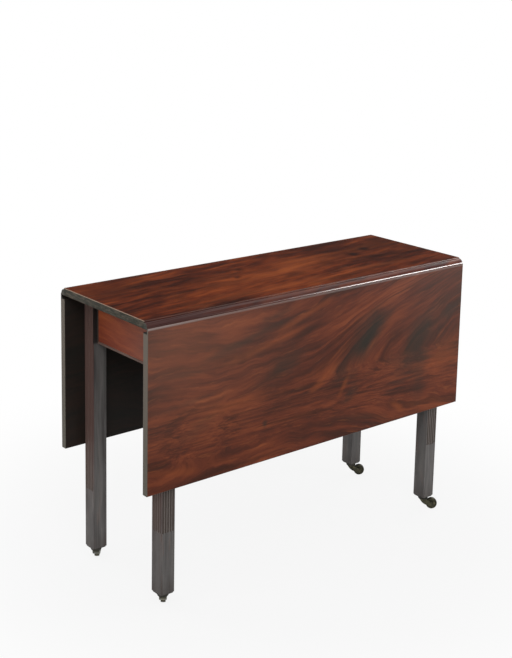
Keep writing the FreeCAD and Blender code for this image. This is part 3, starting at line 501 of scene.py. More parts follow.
@dataclass(frozen=True)
class TopTimber(Timber):
    """Fixed top: polished ovolo edges with painted shade, painted reflection and a painted
    highlight on the quirk, dull grey ends, a pale worn arris and painted shade on the underside.
    """

    half_length: float = 0.514
    half_flat: float = 0.168
    face: float = 0.711
    arris: float = 0.0016
    underside: float = 0.6945
    ovolo_roughness: float = 0.20
    end_tones: Stops = ((0.35, (40, 40, 33)), (0.5, (56, 54, 46)), (0.68, (82, 74, 64)))
    ovolo_shade_tone: Colour = (50, 26, 25)
    rubbed_and_reflected_tone: Colour = (104, 84, 82)
    quirk_highlight_tone: Colour = (122, 104, 96)
    arris_tone: Colour = (150, 128, 112)
    underside_shade_tone: Colour = (52, 38, 30)

    def layers(self, graph: NodeGraph) -> list[Layer]:
        """List the painted shade and painted reflection on the ovolo, the painted highlight on the
        quirk, the pale arris, the ends and the painted shade on the underside.

        Args:
            graph: Graph of the material.

        Returns:
            The layers, from the lowest one up.
        """
        out, ovolo, end = graph.absolute(graph.x), self.ovolo(graph), self.half_length
        # Painted shade on the ovolo, darkest at the left end where little light reflects from it.
        ovolo_shade = graph.sum(0.85, graph.times(graph.rise(graph.x, -0.45, 0.1), -0.5))
        # Painted reflection: grey streaks on the ovolo, for the light that it reflects.
        streaks = graph.streaks(graph.here, (6.0, 300.0, 300.0), 2.0)
        rubbed_and_reflected = graph.times(ovolo, graph.rise(streaks, 0.3, 0.7))
        # Painted highlight: a pale line on the upright wall of the quirk above the ovolo.
        quirk_highlight = graph.times(
            ovolo, graph.rise(graph.z, self.face - 2.2 * MM, self.face - 1.4 * MM))
        sawn = graph.rise(out, end - 0.6 * MM, end - 0.1 * MM)
        scuffs = graph.streaks(graph.here, (1.0, 60.0, 240.0), 3.0)
        worn = graph.times(graph.rise(out, end - self.arris, end - 1.2 * MM),
                           graph.rise(graph.z, self.face - self.arris, self.face - 0.8 * MM))
        # Painted shade: the underside of the top is darkened.
        below = graph.rise(graph.z, self.underside, self.underside - MM)
        return [Layer(graph.times(ovolo, ovolo_shade), 1.0, self.ovolo_shade_tone),
                Layer(rubbed_and_reflected, 0.3, self.rubbed_and_reflected_tone),
                Layer(quirk_highlight, 0.6, self.quirk_highlight_tone),
                Layer(sawn, 1.0, graph.ramp(scuffs, self.end_tones)),
                Layer(worn, 0.85, self.arris_tone),
                Layer(below, 0.75, self.underside_shade_tone)]

    def sheen(self, graph: NodeGraph, roughness: Socket) -> Socket:
        """Polish the ovolo, which hands have rubbed bright."""
        smoother = graph.less(self.ovolo_roughness, roughness)
        return graph.sum(roughness, graph.times(self.ovolo(graph), smoother))

    def ovolo(self, graph: NodeGraph) -> Socket:
        """Give 1 on the rounded long edges and 0 on the flat."""
        return graph.rise(graph.absolute(graph.y), self.half_flat - MM, self.half_flat + MM)

    def gloss(self, graph: NodeGraph) -> Value:
        """Give the ovolo more polish than the flat."""
        handled = graph.sum(0.11, graph.times(graph.rise(graph.x, -0.5, 0.2), 0.55))
        return graph.sum(self.polish, graph.times(self.ovolo(graph), handled))

    def open_pores(self, graph: NodeGraph, pores: Socket) -> Socket:
        """Close the pores on the ovolo."""
        return graph.times(pores, graph.less(1.0, self.ovolo(graph)))


@dataclass(frozen=True)
class LeafTimber(Timber):
    """Drop leaf: flame figure outside, grey edges, painted sheen, a pale lip of wear and painted
    highlight, and a dark inner face and cove with painted shade.
    """

    half_length: float = 0.514
    low: float = 0.306
    inner: float = 0.165
    outer: float = 0.183
    edge_band: float = 0.0016
    lip: float = 0.690
    eddies: tuple[Eddy, ...] = ()
    fork: tuple[float, float] = (-0.02, 0.425)
    upper_opening: float = 0.143
    lower_opening: float = 0.035
    blend: float = 0.07
    fork_bend: float = 0.01
    core: float = 0.02
    parting: float = 0.7
    edge_tone: Colour = (90, 86, 78)
    lip_wear_and_highlight_tone: Colour = (146, 134, 130)
    dark_inside_and_shade_tone: Colour = (30, 31, 29)

    def axes(self, graph: NodeGraph) -> Place:
        """Bend the fibres as at the fork of a tree, where they part and run round an axis.

        Args:
            graph: Graph of the material.

        Returns:
            Lengths along, across and deep.
        """
        fork, axis = self.fork
        height = graph.less(graph.z, axis)
        upper = graph.rise(height, -self.blend, self.blend)
        past = graph.less(graph.x, fork)
        past = graph.sum(past, graph.root(graph.sum(graph.square(past), self.fork_bend)))
        opening = graph.sum(self.lower_opening,
                            graph.times(upper, self.upper_opening - self.lower_opening))
        fan = graph.less(graph.square(height), graph.times(past, graph.times(opening, 0.5)))
        level = graph.math(
            "DIVIDE", fan, graph.root(graph.sum(graph.absolute(fan), self.core)))
        for eddy in self.eddies:
            near = graph.rise(self.reach(graph, eddy, 0.0), 1.0, 0.0)
            level = graph.sum(level, graph.times(near, eddy.lift))
        return graph.x, level, graph.sum(graph.y, graph.times(upper, self.parting))

    def layers(self, graph: NodeGraph) -> list[Layer]:
        """List the grey edges, the painted sheen, the lip's wear and painted highlight, and the
        dark inner face and cove with painted shade.

        Args:
            graph: Graph of the material.

        Returns:
            The layers, from the lowest one up.
        """
        out, side, end = graph.absolute(graph.x), graph.absolute(graph.y), self.half_length
        edges = graph.larger(
            graph.rise(out, end - self.edge_band, end - 0.3 * MM),
            graph.rise(graph.z, self.low + self.edge_band, self.low + 0.3 * MM))
        # Painted sheen: a pale grey veil over the upper leaf, strongest at the left end and fainter
        # at the right end.
        painted_sheen = graph.sum(graph.times(graph.rise(graph.x, 0.1, -0.5), 0.14),
                          graph.times(graph.rise(graph.x, 0.12, 0.45), 0.05))
        painted_sheen = graph.times(graph.rise(graph.z, self.low, self.lip), painted_sheen)
        # Pale lip under the ovolo: wear with a painted highlight, painted stronger towards the left
        # end where the lamp's highlight fades.
        lip = graph.times(graph.rise(graph.z, self.lip - MM, self.lip + 4 * MM),
                          graph.rise(side, self.outer - MM, self.outer - 0.4 * MM))
        lip_wear_and_highlight = graph.sum(0.45, graph.times(graph.rise(graph.x, -0.25, -0.5), 0.4))
        # Dark inner face and cove: darker wood with painted shade, as the cove and the inside of
        # the leaf lie in shade.
        cove_shade = graph.times(graph.rise(graph.z, self.lip - 8 * MM, self.lip - 6.5 * MM),
                           graph.rise(side, self.outer - 2.4 * MM, self.outer - 2.8 * MM))
        inside = graph.larger(
            cove_shade, graph.rise(side, self.inner + 1.2 * MM, self.inner + 0.2 * MM))
        return [Layer(edges, 1.0, self.edge_tone),
                Layer(graph.sum(0.01, painted_sheen), 1.0, PAINTED_SHEEN_TONE),
                Layer(graph.times(lip, lip_wear_and_highlight), 1.0, self.lip_wear_and_highlight_tone),
                Layer(inside, 0.93, self.dark_inside_and_shade_tone)]

    def sheen(self, graph: NodeGraph, roughness: Socket) -> Socket:
        """Polish the lip under the ovolo."""
        lip = graph.rise(graph.z, self.lip - 3 * MM, self.lip)
        return graph.sum(roughness, graph.times(lip, -0.15))


@dataclass(frozen=True)
class LegTimber(Timber):
    """Leg: dull grey-brown wood with dust and painted sheen, dirt and painted shade in its flutes,
    painted shade beside the frieze, redder end faces and wear towards the foot.
    """

    foot: float = 0.041
    middle: tuple[float, float] = (0.441, 0.144)
    half_width: float = 0.019
    fluted: float = 0.0172
    flute_stop: float = 0.191
    frieze: float = 0.573
    dust_and_sheen_tone: Colour = (92, 89, 87)
    fillet_tone: Colour = (122, 112, 104)
    flute_dirt_and_shade_tone: Colour = (52, 38, 33)
    end_face_red_tone: Colour = (78, 49, 42)
    frieze_shade_tone: Colour = (22, 19, 18)
    rubbed_and_reflected_tone: Colour = (58, 50, 46)

    def flutes(self, graph: NodeGraph) -> tuple[Socket, Socket]:
        """Find the hollows of the flutes and the band of each face that holds them.

        Args:
            graph: Graph of the material.

        Returns:
            Share of a hollow, and share of a fluted band.
        """
        aside = [graph.less(graph.absolute(place), middle)
                 for place, middle in zip((graph.x, graph.y), self.middle)]
        hollows, bands = [], []
        for out, along in (aside, aside[::-1]):
            sunk = graph.less(self.half_width, out)
            within = graph.rise(graph.absolute(along), self.fluted, self.fluted - 0.6 * MM)
            band = graph.times(within, graph.rise(sunk, 3.0 * MM, 2.4 * MM))
            bands.append(band)
            hollows.append(graph.times(band, graph.rise(sunk, 0.3 * MM, 1.2 * MM)))
        return graph.larger(*hollows), graph.larger(*bands)

    def layers(self, graph: NodeGraph) -> list[Layer]:
        """List the dust and painted sheen, the fillets, the dirt and painted shade of the flutes,
        the redder end faces, the painted shade beside the frieze and the worn foot.

        Args:
            graph: Graph of the material.

        Returns:
            The layers, from the lowest one up.
        """
        end, back = self.middle[0] + self.half_width, self.middle[1] - self.half_width
        # Dust and painted sheen: a pale grey veil in patches over the leg.
        dust_and_sheen = graph.rise(graph.streaks(graph.here, (30.0, 30.0, 7.0), 4.0), 0.35, 0.65)
        # Dirt and painted shade in the hollows of the flutes.
        hollow, band = self.flutes(graph)
        above = graph.rise(graph.z, self.flute_stop, self.flute_stop + 6 * MM)
        # The end faces are painted redder, most towards the top.
        redder_end_faces = graph.times(
            graph.rise(graph.absolute(graph.x), end - 2.6 * MM, end - 2.0 * MM),
            graph.sum(0.06, graph.times(graph.rise(graph.z, 0.12, 0.38), 0.66)))
        # Painted shade: the inner face of the leg goes near black in the narrow gap beside the
        # frieze.
        frieze_shade = graph.times(
            graph.rise(graph.z, self.frieze - 4 * MM, self.frieze + 4 * MM),
            graph.rise(graph.absolute(graph.y), back + 0.8 * MM, back + 0.2 * MM))
        rubbed_and_reflected = graph.rise(graph.z, self.foot + 50 * MM, self.foot)
        return [Layer(dust_and_sheen, 0.35, self.dust_and_sheen_tone),
                Layer(graph.times(band, above), 0.45, self.fillet_tone),
                Layer(hollow, 0.72, self.flute_dirt_and_shade_tone),
                Layer(redder_end_faces, 1.0, self.end_face_red_tone),
                Layer(frieze_shade, 0.85, self.frieze_shade_tone),
                Layer(rubbed_and_reflected, 0.4, self.rubbed_and_reflected_tone)]


@dataclass(frozen=True)
class FriezeTimber(Timber):
    """End rail: polished outside with painted sheen towards the front, bare and dusty inside."""

    face: float = 0.448
    bare_tone: Colour = (88, 66, 50)

    def layers(self, graph: NodeGraph) -> list[Layer]:
        """List the painted sheen towards the front and the bare back."""
        behind = graph.rise(graph.absolute(graph.x), self.face - 0.6 * MM, self.face - 1.2 * MM)
        # Painted sheen: a pale grey veil that grows towards the front.
        return [Layer(graph.rise(graph.y, 0.04, -0.12), 0.16, PAINTED_SHEEN_TONE),
                Layer(behind, 0.7, self.bare_tone)]


@dataclass(frozen=True)
class BeadTimber(Timber):
    """Bead round the frieze: worn pale below, and painted black with shade beside the legs."""

    upright: float = 0.1185
    beside_leg_shade_tone: Colour = (26, 21, 19)

    def layers(self, graph: NodeGraph) -> list[Layer]:
        """List the painted shade on the upright ends."""
        # Painted shade: the upright ends of the bead beside the legs are made near black.
        beside = graph.rise(graph.absolute(graph.y), self.upright, self.upright + MM)
        return [Layer(beside, 0.85, self.beside_leg_shade_tone)]


@dataclass(frozen=True)
class Metal:
    """Finish of an old cast or forged fitting."""

    name: str
    bright: Colour
    dark: Colour
    rubbed_and_reflected: Colour
    roughness: float
    metallic: float
    mottling: float = 0.24
    pit_relief: float = 0.2
    pit_depth: float = 0.0002

    def build(self) -> bpy.types.Material:
        """Make the material.

        Returns:
            The finished metal.
        """
        graph = NodeGraph(self.name)
        place = graph.point(*graph.here)
        patina = graph.noise(place, 130.0, 5.0, 0.62, 0.4)
        broad = graph.noise(place, 38.0, 2.0)
        tone = graph.sum(graph.times(patina, 0.6), graph.times(broad, 0.4))
        colour = graph.ramp(tone, ((0.36, self.dark), (0.52, self.bright), (0.68, self.rubbed_and_reflected)))
        pits = graph.noise(place, 900.0, 2.0)
        roughness = graph.sum(self.roughness - self.mottling / 2,
                              graph.times(patina, self.mottling))
        graph.emboss(pits, self.pit_relief, self.pit_depth)
        return graph.finish(colour, roughness, Metallic=self.metallic, Specular_IOR_Level=0.5)


@cache
def material_of(finish: Timber | Metal) -> bpy.types.Material:
    """Give a finish's material, which is made at the first call."""
    return finish.build()


RED_TONES = ((0.20, (50, 22, 15)), (0.36, (74, 32, 19)), (0.50, (102, 45, 24)),
             (0.66, (128, 61, 30)), (0.85, (150, 78, 39)))
FLAME_TONES = ((0.20, (46, 31, 25)), (0.38, (74, 38, 28)), (0.52, (95, 47, 32)),
               (0.68, (118, 60, 38)), (0.85, (144, 80, 49)))
FRIEZE_TONES = ((0.25, (86, 38, 26)), (0.45, (116, 54, 36)), (0.65, (140, 70, 42)),
                (0.85, (160, 88, 52)))
# Grey leg tones: dull, dusty wood with painted sheen laid into its colour.
GREY_TONES = ((0.25, (58, 53, 51)), (0.45, (80, 77, 76)), (0.65, (98, 95, 93)),
              (0.85, (114, 109, 105)))
BEAD_TONES = ((0.25, (80, 62, 55)), (0.5, (100, 80, 72)), (0.8, (126, 104, 92)))
OAK_TONES = ((0.25, (64, 46, 33)), (0.45, (92, 68, 48)), (0.65, (112, 85, 60)),
             (0.85, (130, 101, 72)))

TOP_WOOD = TopTimber(
    "mahogany_top", Grain.LENGTHWISE, RED_TONES, streaks_along=4.0, shift=0.31, roughness=0.33,
    polish=0.06, pore_depth=0.0, wear=0.05, flecks=0.35, streak=0.9, cloud=0.75, mottle=0.6,
    veins=0.3, lean=0.12, smudge_tone=(38, 17, 12),
    smudges=clouds(
        (0.3, 0.021, 0.026, 0.024, 0.3, 1.0), (0.367, 0.047, 0.022, 0.02, 0.3, 1.0),
        (-0.31, 0.035, 0.1, 0.035, 0.1, 0.55), (-0.06, 0.065, 0.018, 0.012, 0.0, 0.85),
        (0.33, -0.025, 0.19, 0.022, -0.1, 0.75), (0.12, -0.135, 0.15, 0.012, 0.05, 0.6),
        (-0.34, -0.06, 0.03, 0.014, 0.0, 0.5), (0.03, -0.05, 0.05, 0.022, 0.2, 0.45),
        (-0.11, 0.01, 0.018, 0.011, 0.6, 0.8), (0.38, 0.06, 0.26, 0.13, 0.0, 0.5),
        (-0.44, 0.08, 0.22, 0.13, 0.0, 0.38)),
    glows=clouds(
        (-0.15, -0.12, 0.3, 0.03, 0.0, 0.35), (0.26, -0.1, 0.16, 0.016, 0.0, 0.5),
        (-0.29, 0.14, 0.03, 0.02, 0.3, 0.4), (0.1, 0.02, 0.16, 0.05, 0.4, 0.25),
        (-0.04, 0.0, 0.26, 0.08, 0.1, 0.22)))
FRONT_LEAF_WOOD = LeafTimber(
    "mahogany_leaf_front", Grain.FLAME, FLAME_TONES, swirl=0.06, streak=0.6, cloud=0.85, mottle=0.2,
    veins=0.6, polish=0.06, shift=1.7,
    eddies=(Eddy(-0.37, 0.41, 0.13, 0.085, 0.07),),
    smudges=clouds(
        (0.145, 0.54, 0.13, 0.052, 0.75, 0.9), (0.172, 0.556, 0.045, 0.022, 0.75, 0.6),
        (0.355, 0.515, 0.15, 0.065, 0.72, 0.75), (0.36, 0.41, 0.075, 0.035, 1.57, 0.4),
        (-0.13, 0.535, 0.09, 0.034, 0.4, 0.55), (-0.21, 0.625, 0.17, 0.014, 0.22, 0.5),
        (-0.13, 0.666, 0.06, 0.012, 0.2, 0.5), (0.11, 0.42, 0.04, 0.022, 0.7, 0.5),
        (-0.375, 0.436, 0.07, 0.022, 0.35, 0.3), (-0.174, 0.4, 0.012, 0.009, 1.5, 0.7),
        (-0.43, 0.572, 0.11, 0.01, 0.0, 0.35), (0.15, 0.345, 0.1, 0.012, -0.2, 0.4),
        (-0.38, 0.505, 0.12, 0.01, 0.1, 0.35), (0.48, 0.575, 0.06, 0.016, 0.5, 0.5)),
    glows=clouds(
        (0.02, 0.48, 0.07, 0.014, 0.6, 0.45), (-0.15, 0.6, 0.14, 0.012, 0.2, 0.35),
        (0.45, 0.455, 0.09, 0.06, 0.3, 0.3), (-0.44, 0.345, 0.09, 0.012, -0.2, 0.25),
        (0.085, 0.445, 0.04, 0.01, 1.0, 0.4), (0.285, 0.34, 0.04, 0.012, -0.6, 0.4),
        (-0.05, 0.65, 0.12, 0.012, 0.3, 0.4), (-0.42, 0.62, 0.16, 0.09, 0.0, 0.2),
        (-0.27, 0.47, 0.13, 0.02, 0.1, 0.3)))
REAR_LEAF_WOOD = replace(
    FRONT_LEAF_WOOD, name="mahogany_leaf_rear", shift=4.3, fork=(-0.12, 0.47),
    eddies=(Eddy(-0.4, 0.45, 0.12, 0.08, 0.04),), glows=(),
    smudges=clouds(
        (-0.04, 0.58, 0.12, 0.04, 0.7, 0.6), (0.25, 0.55, 0.12, 0.04, 0.6, 0.5)))
LEG_WOOD = LegTimber(
    "mahogany_leg", Grain.UPRIGHT, GREY_TONES, streaks_across=90.0, swirl=0.01, cloud=0.3,
    streak=1.2, pores=0.25, roughness=0.5, polish=0.25, flecks=0.1)
FRIEZE_WOOD = FriezeTimber(
    "mahogany_frieze", Grain.CROSSWISE, FRIEZE_TONES, streaks_across=40.0, roughness=0.45)
BEAD_WOOD = BeadTimber(
    "mahogany_bead", Grain.CROSSWISE, BEAD_TONES, streaks_across=60.0, swirl=0.01, roughness=0.45,
    flecks=0.1)
RAIL_WOOD = Timber(
    "rail_wood", Grain.LENGTHWISE, OAK_TONES, streaks_across=55.0, swirl=0.02, roughness=0.7,
    polish=0.15, flecks=0.1)
HINGE_IRON = Metal("hinge_iron", (62, 56, 51), (38, 33, 30), (98, 90, 82), 0.52, 0.85)
CASTOR_BRASS = Metal("castor_brass", (64, 62, 48), (34, 33, 27), (108, 102, 78), 0.42, 0.8)
PLATE_BRASS = Metal("castor_plate_brass", (50, 48, 43), (34, 32, 29), (72, 68, 58), 0.55, 0.7)


def pick(test: Callable[[Vector, Vector], bool]) -> None:
    """Select the faces of the piece in hand that pass a test, in edit mode.

    Args:
        test: Says from a face's middle and normal whether it is wanted.
    """
    bpy.ops.object.mode_set(mode="OBJECT")
    mesh = bpy.context.object.data
    for item in (*mesh.vertices, *mesh.edges):
        item.select = False
    for face in mesh.polygons:
        face.select = test(face.center, face.normal)
    bpy.ops.object.mode_set(mode="EDIT")
    bpy.ops.mesh.select_mode(type="FACE")


@dataclass(frozen=True)
class SlottedScrew:
    """Wood screw along +Z with its head's face at the origin, turned to -Z.

    Rim, slot and slot depth are shares of the head's radius, the rounding is a share
    of the dome and the tip is a share of the shank.
    """

    head_radius: float
    shank_radius: float
    length: float
    dome: float = 0.0
    sides: int = 24
    rim: float = 0.12
    half_slot: float = 0.14
    slot_depth: float = 0.3
    rounding: float = 0.8
    tip: float = 0.1
    slot_turn: float = 0.77
    smooth_angle: float = math.radians(35)

    def build(self) -> bpy.types.Object:
        """Model one screw: head, shank with a point, and the slot across its head.

        Returns:
            The pattern that every copy is taken from.
        """
        sunk = self.dome == 0
        depth = self.head_radius - self.shank_radius if sunk else self.dome
        middle = depth / 2 if sunk else -depth / 2
        bpy.ops.object.select_all(action="DESELECT")
        bpy.ops.mesh.primitive_cylinder_add(
            vertices=self.sides, radius=self.head_radius, depth=depth, location=(0, 0, middle))
        screw = bpy.context.object
        bpy.ops.object.transform_apply()
        seat = depth if sunk else 0.0
        self.draw_shank(seat, sunk)
        self.cut_slot(0.0 if sunk else -depth)
        self.settle(screw)
        bpy.ops.object.shade_smooth_by_angle(angle=self.smooth_angle)
        return screw

    @staticmethod
    def settle(screw: bpy.types.Object) -> None:
        """Round and sort what extruding orders by memory address, so that runs are alike.

        Args:
            screw: The pattern, which is left in object mode.
        """
        bpy.ops.object.mode_set(mode="OBJECT")
        for vertex in screw.data.vertices:
            vertex.co = [round(value, DIGITS) for value in vertex.co]
        pick(lambda at, normal: True)
        cursor = bpy.context.scene.cursor
        cursor.location = SORT_FROM
        bpy.ops.mesh.sort_elements(type="CURSOR_DISTANCE", elements={"VERT", "EDGE", "FACE"})
        cursor.location = (0, 0, 0)
        bpy.ops.object.mode_set(mode="OBJECT")

    def draw_shank(self, seat: float, sunk: bool) -> None:
        """Draw the shank and its point out of the head's seat.

        Args:
            seat: Height of the seat.
            sunk: Whether the head narrows to the shank.
        """
        share = self.shank_radius / self.head_radius
        pick(lambda at, normal: normal.z > LEVEL and at.z > seat - TOUCH)
        if sunk:
            bpy.ops.transform.resize(value=(share, share, 1))
        else:
            bpy.ops.mesh.inset(thickness=self.head_radius - self.shank_radius)
        straight = self.length - self.shank_radius - seat
        bpy.ops.mesh.extrude_region_move(TRANSFORM_OT_translate={"value": (0, 0, straight)})
        bpy.ops.mesh.extrude_region_move(
            TRANSFORM_OT_translate={"value": (0, 0, self.shank_radius)})
        bpy.ops.transform.resize(value=(self.tip, self.tip, 1))

    def cut_slot(self, face: float) -> None:
        """Round a domed head and sink the driver's slot into the face.

        Args:
            face: Height of the head's face.
        """
        def on_face(at: Vector, normal: Vector) -> bool:
            """Tell whether a mesh face lies in the head's face."""
            return normal.z < -LEVEL and at.z < face + TOUCH

        rim, rounded = self.head_radius * self.rim, self.dome * self.rounding
        half_slot = self.head_radius * self.half_slot
        if self.dome:
            pick(on_face)
            bpy.ops.mesh.bevel(offset=rounded, segments=4, affect="EDGES")
        pick(on_face)
        bpy.ops.mesh.inset(thickness=rim)
        slack, inside = 1.01, 0.9
        reach = (self.head_radius - rim * slack - rounded) * inside
        for side in (-half_slot, half_slot):
            bpy.ops.mesh.select_all(action="SELECT")
            bpy.ops.mesh.bisect(plane_co=(side, 0, 0), plane_no=(1, 0, 0))
        pick(lambda at, normal: on_face(at, normal)
             and abs(at.x) < half_slot and abs(at.y) < reach)
        bpy.ops.mesh.extrude_region_move(
            TRANSFORM_OT_translate={"value": (0, 0, self.head_radius * self.slot_depth)})

    def place(self, name: str, spots: list[Matrix]) -> bpy.types.Object:
        """Copy the screw to its places and join the copies into one piece.

        Args:
            name: Name of the joined piece.
            spots: Place and direction of each screw.

        Returns:
            The joined piece, with its place in its mesh.
        """
        pattern = self.build()
        bpy.ops.object.select_all(action="DESELECT")
        for number, spot in enumerate(spots):
            copy = pattern.copy()
            copy.data = pattern.data.copy()
            bpy.context.scene.collection.objects.link(copy)
            copy.data.transform(spot @ Matrix.Rotation(number * self.slot_turn, 4, "Z"))
            copy.select_set(True)
            bpy.context.view_layer.objects.active = copy
        bpy.data.objects.remove(pattern)
        bpy.ops.object.join()
        joined = bpy.context.object
        joined.name = joined.data.name = name
        return joined


@dataclass
class SubAssembly:
    """Pieces of the table that belong together."""

    frame: dict

    def dress(self, names: tuple[str, ...], finish: Timber | Metal) -> None:
        """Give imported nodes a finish.

        Args:
            names: Nodes that take it.
            finish: The finish.
        """
        for name in names:
            slots = self.frame["nodes"][name].data.materials
            slots.clear()
            slots.append(material_of(finish))
            log.info("%s takes %s", name, finish.name)

    def fit(self, screw: SlottedScrew, spots: list[Matrix], node: str, body: str,
            finish: Metal) -> None:
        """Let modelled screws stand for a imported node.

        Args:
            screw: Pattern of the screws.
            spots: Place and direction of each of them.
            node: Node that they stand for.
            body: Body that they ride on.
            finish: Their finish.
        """
        piece = screw.place(f"{node}_slotted", spots)
        piece.data.materials.clear()
        piece.data.materials.append(material_of(finish))
        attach(piece, body)
        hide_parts(node)
        log.info("%s stands for %s on %s", piece.name, node, body)


SIDES = ("front", "rear")
CORNERS = ("front_left", "front_right", "rear_left", "rear_right")


@dataclass
class FixedTop(SubAssembly):
    """The board between the leaves, with its ovolo edges."""

    def build(self) -> None:
        """Dress the board."""
        self.dress(("top_board",), TOP_WOOD)


@dataclass
class DropLeaves(SubAssembly):
    """The two leaves that hang on the rule joints."""

    def build(self) -> None:
        """Dress both leaves."""
        self.dress(("leaf_front",), FRONT_LEAF_WOOD)
        self.dress(("leaf_rear",), REAR_LEAF_WOOD)


@dataclass
class LegsAndFrieze(SubAssembly):
    """Fluted legs, end rails and their beads."""

    def build(self) -> None:
        """Dress the legs and both ends of the frieze."""
        self.dress(tuple(f"leg_{corner}" for corner in CORNERS), LEG_WOOD)
        self.dress(("end_rail_left", "end_rail_right"), FRIEZE_WOOD)
        self.dress(("frieze_bead_left", "frieze_bead_right"), BEAD_WOOD)


@dataclass
class UnderFrame(SubAssembly):
    """Side rails, fly rails and brackets, glue blocks and the top's screws."""

    side_screws_x: tuple[float, ...] = (-0.29118, -0.11647, 0.11647, 0.29118)
    side_screw_y: float = 0.136
    end_screw: tuple[float, float] = (0.439, 0.070)
    seat: float = 0.660
    screw: SlottedScrew = SlottedScrew(4 * MM, 2 * MM, 45 * MM, dome=2.4 * MM)

    def build(self) -> None:
        """Dress the hidden frame and fit the screws that hold the top."""
        for side in SIDES:
            self.dress((f"side_rail_{side}", f"fly_rail_{side}"), RAIL_WOOD)
        self.dress(("glue_blocks", *(f"fly_bracket_{corner}" for corner in CORNERS)), RAIL_WOOD)
        self.dress(("fly_pins",), HINGE_IRON)
        spots = [(x, sign * self.side_screw_y) for sign in (-1, 1) for x in self.side_screws_x]
        spots += [(way * self.end_screw[0], sign * self.end_screw[1])
                  for way in (-1, 1) for sign in (-1, 1)]
        self.fit(self.screw, [Matrix.Translation((x, y, self.seat)) for x, y in spots],
                 "top_screws", "frame", HINGE_IRON)


@dataclass
class RuleHinges(SubAssembly):
    """Table hinges of both rule joints, with their screws."""

    along: tuple[float, ...] = (-0.361, 0.0, 0.361)
    pin_y: float = 0.168
    pin_z: float = 0.696
    near: float = 0.022
    far: float = 0.052
    spread: float = 0.011
    under: float = 0.693
    back_y: float = 0.165
    screw: SlottedScrew = SlottedScrew(3.2 * MM, 1.6 * MM, 12 * MM)

    def build(self) -> None:
        """Dress the plates and pins and fit the screws."""
        for side in SIDES:
            self.dress((f"hinge_top_plates_{side}", f"hinge_leaf_plates_{side}",
                        f"hinge_pins_{side}"), HINGE_IRON)
        above = [Matrix.Translation((x + way * self.spread, sign * (self.pin_y - self.near),
                                     self.under))
                 for sign in (-1, 1) for x in self.along for way in (-1, 1)]
        self.fit(self.screw, above, "hinge_top_screws", "frame", HINGE_IRON)
        for side, sign in zip(SIDES, (-1, 1)):
            outward = Matrix.Rotation(-sign * math.pi / 2, 4, "X")
            spots = [Matrix.Translation((x + way * self.spread, sign * self.back_y,
                                         self.pin_z - drop)) @ outward
                     for x in self.along
                     for way, drop in ((-1, self.near), (1, self.near), (0, self.far))]
            self.fit(self.screw, spots, f"hinge_leaf_screws_{side}", f"{side}_leaf", HINGE_IRON)


@dataclass
class Castors(SubAssembly):
    """Brass castors under the legs, with the screws of their plates."""

    leg_x: float = 0.441
    leg_y: float = 0.144
    off: float = 0.0134
    plate_z: float = 0.0385
    screw: SlottedScrew = SlottedScrew(2.9 * MM, 1.4 * MM, 14 * MM)

    def build(self) -> None:
        """Dress the castors and fit the screws of their plates."""
        for corner in CORNERS:
            self.dress(tuple(f"castor_{part}_{corner}" for part in ("horn", "wheel", "axle")),
                       CASTOR_BRASS)
            self.dress((f"castor_plate_{corner}",), PLATE_BRASS)
        spots = [Matrix.Translation((sign_x * self.leg_x + way_x * self.off,
                                     sign_y * self.leg_y + way_y * self.off, self.plate_z))
                 for sign_x in (-1, 1) for sign_y in (-1, 1)
                 for way_x in (-1, 1) for way_y in (-1, 1)]
        self.fit(self.screw, spots, "castor_screws", "frame", CASTOR_BRASS)


@dataclass(frozen=True)
class Lamp:
    """A soft lamp that looks at the table."""

    name: str
    place: tuple[float, float, float]
    width: float
    height: float
    power: float


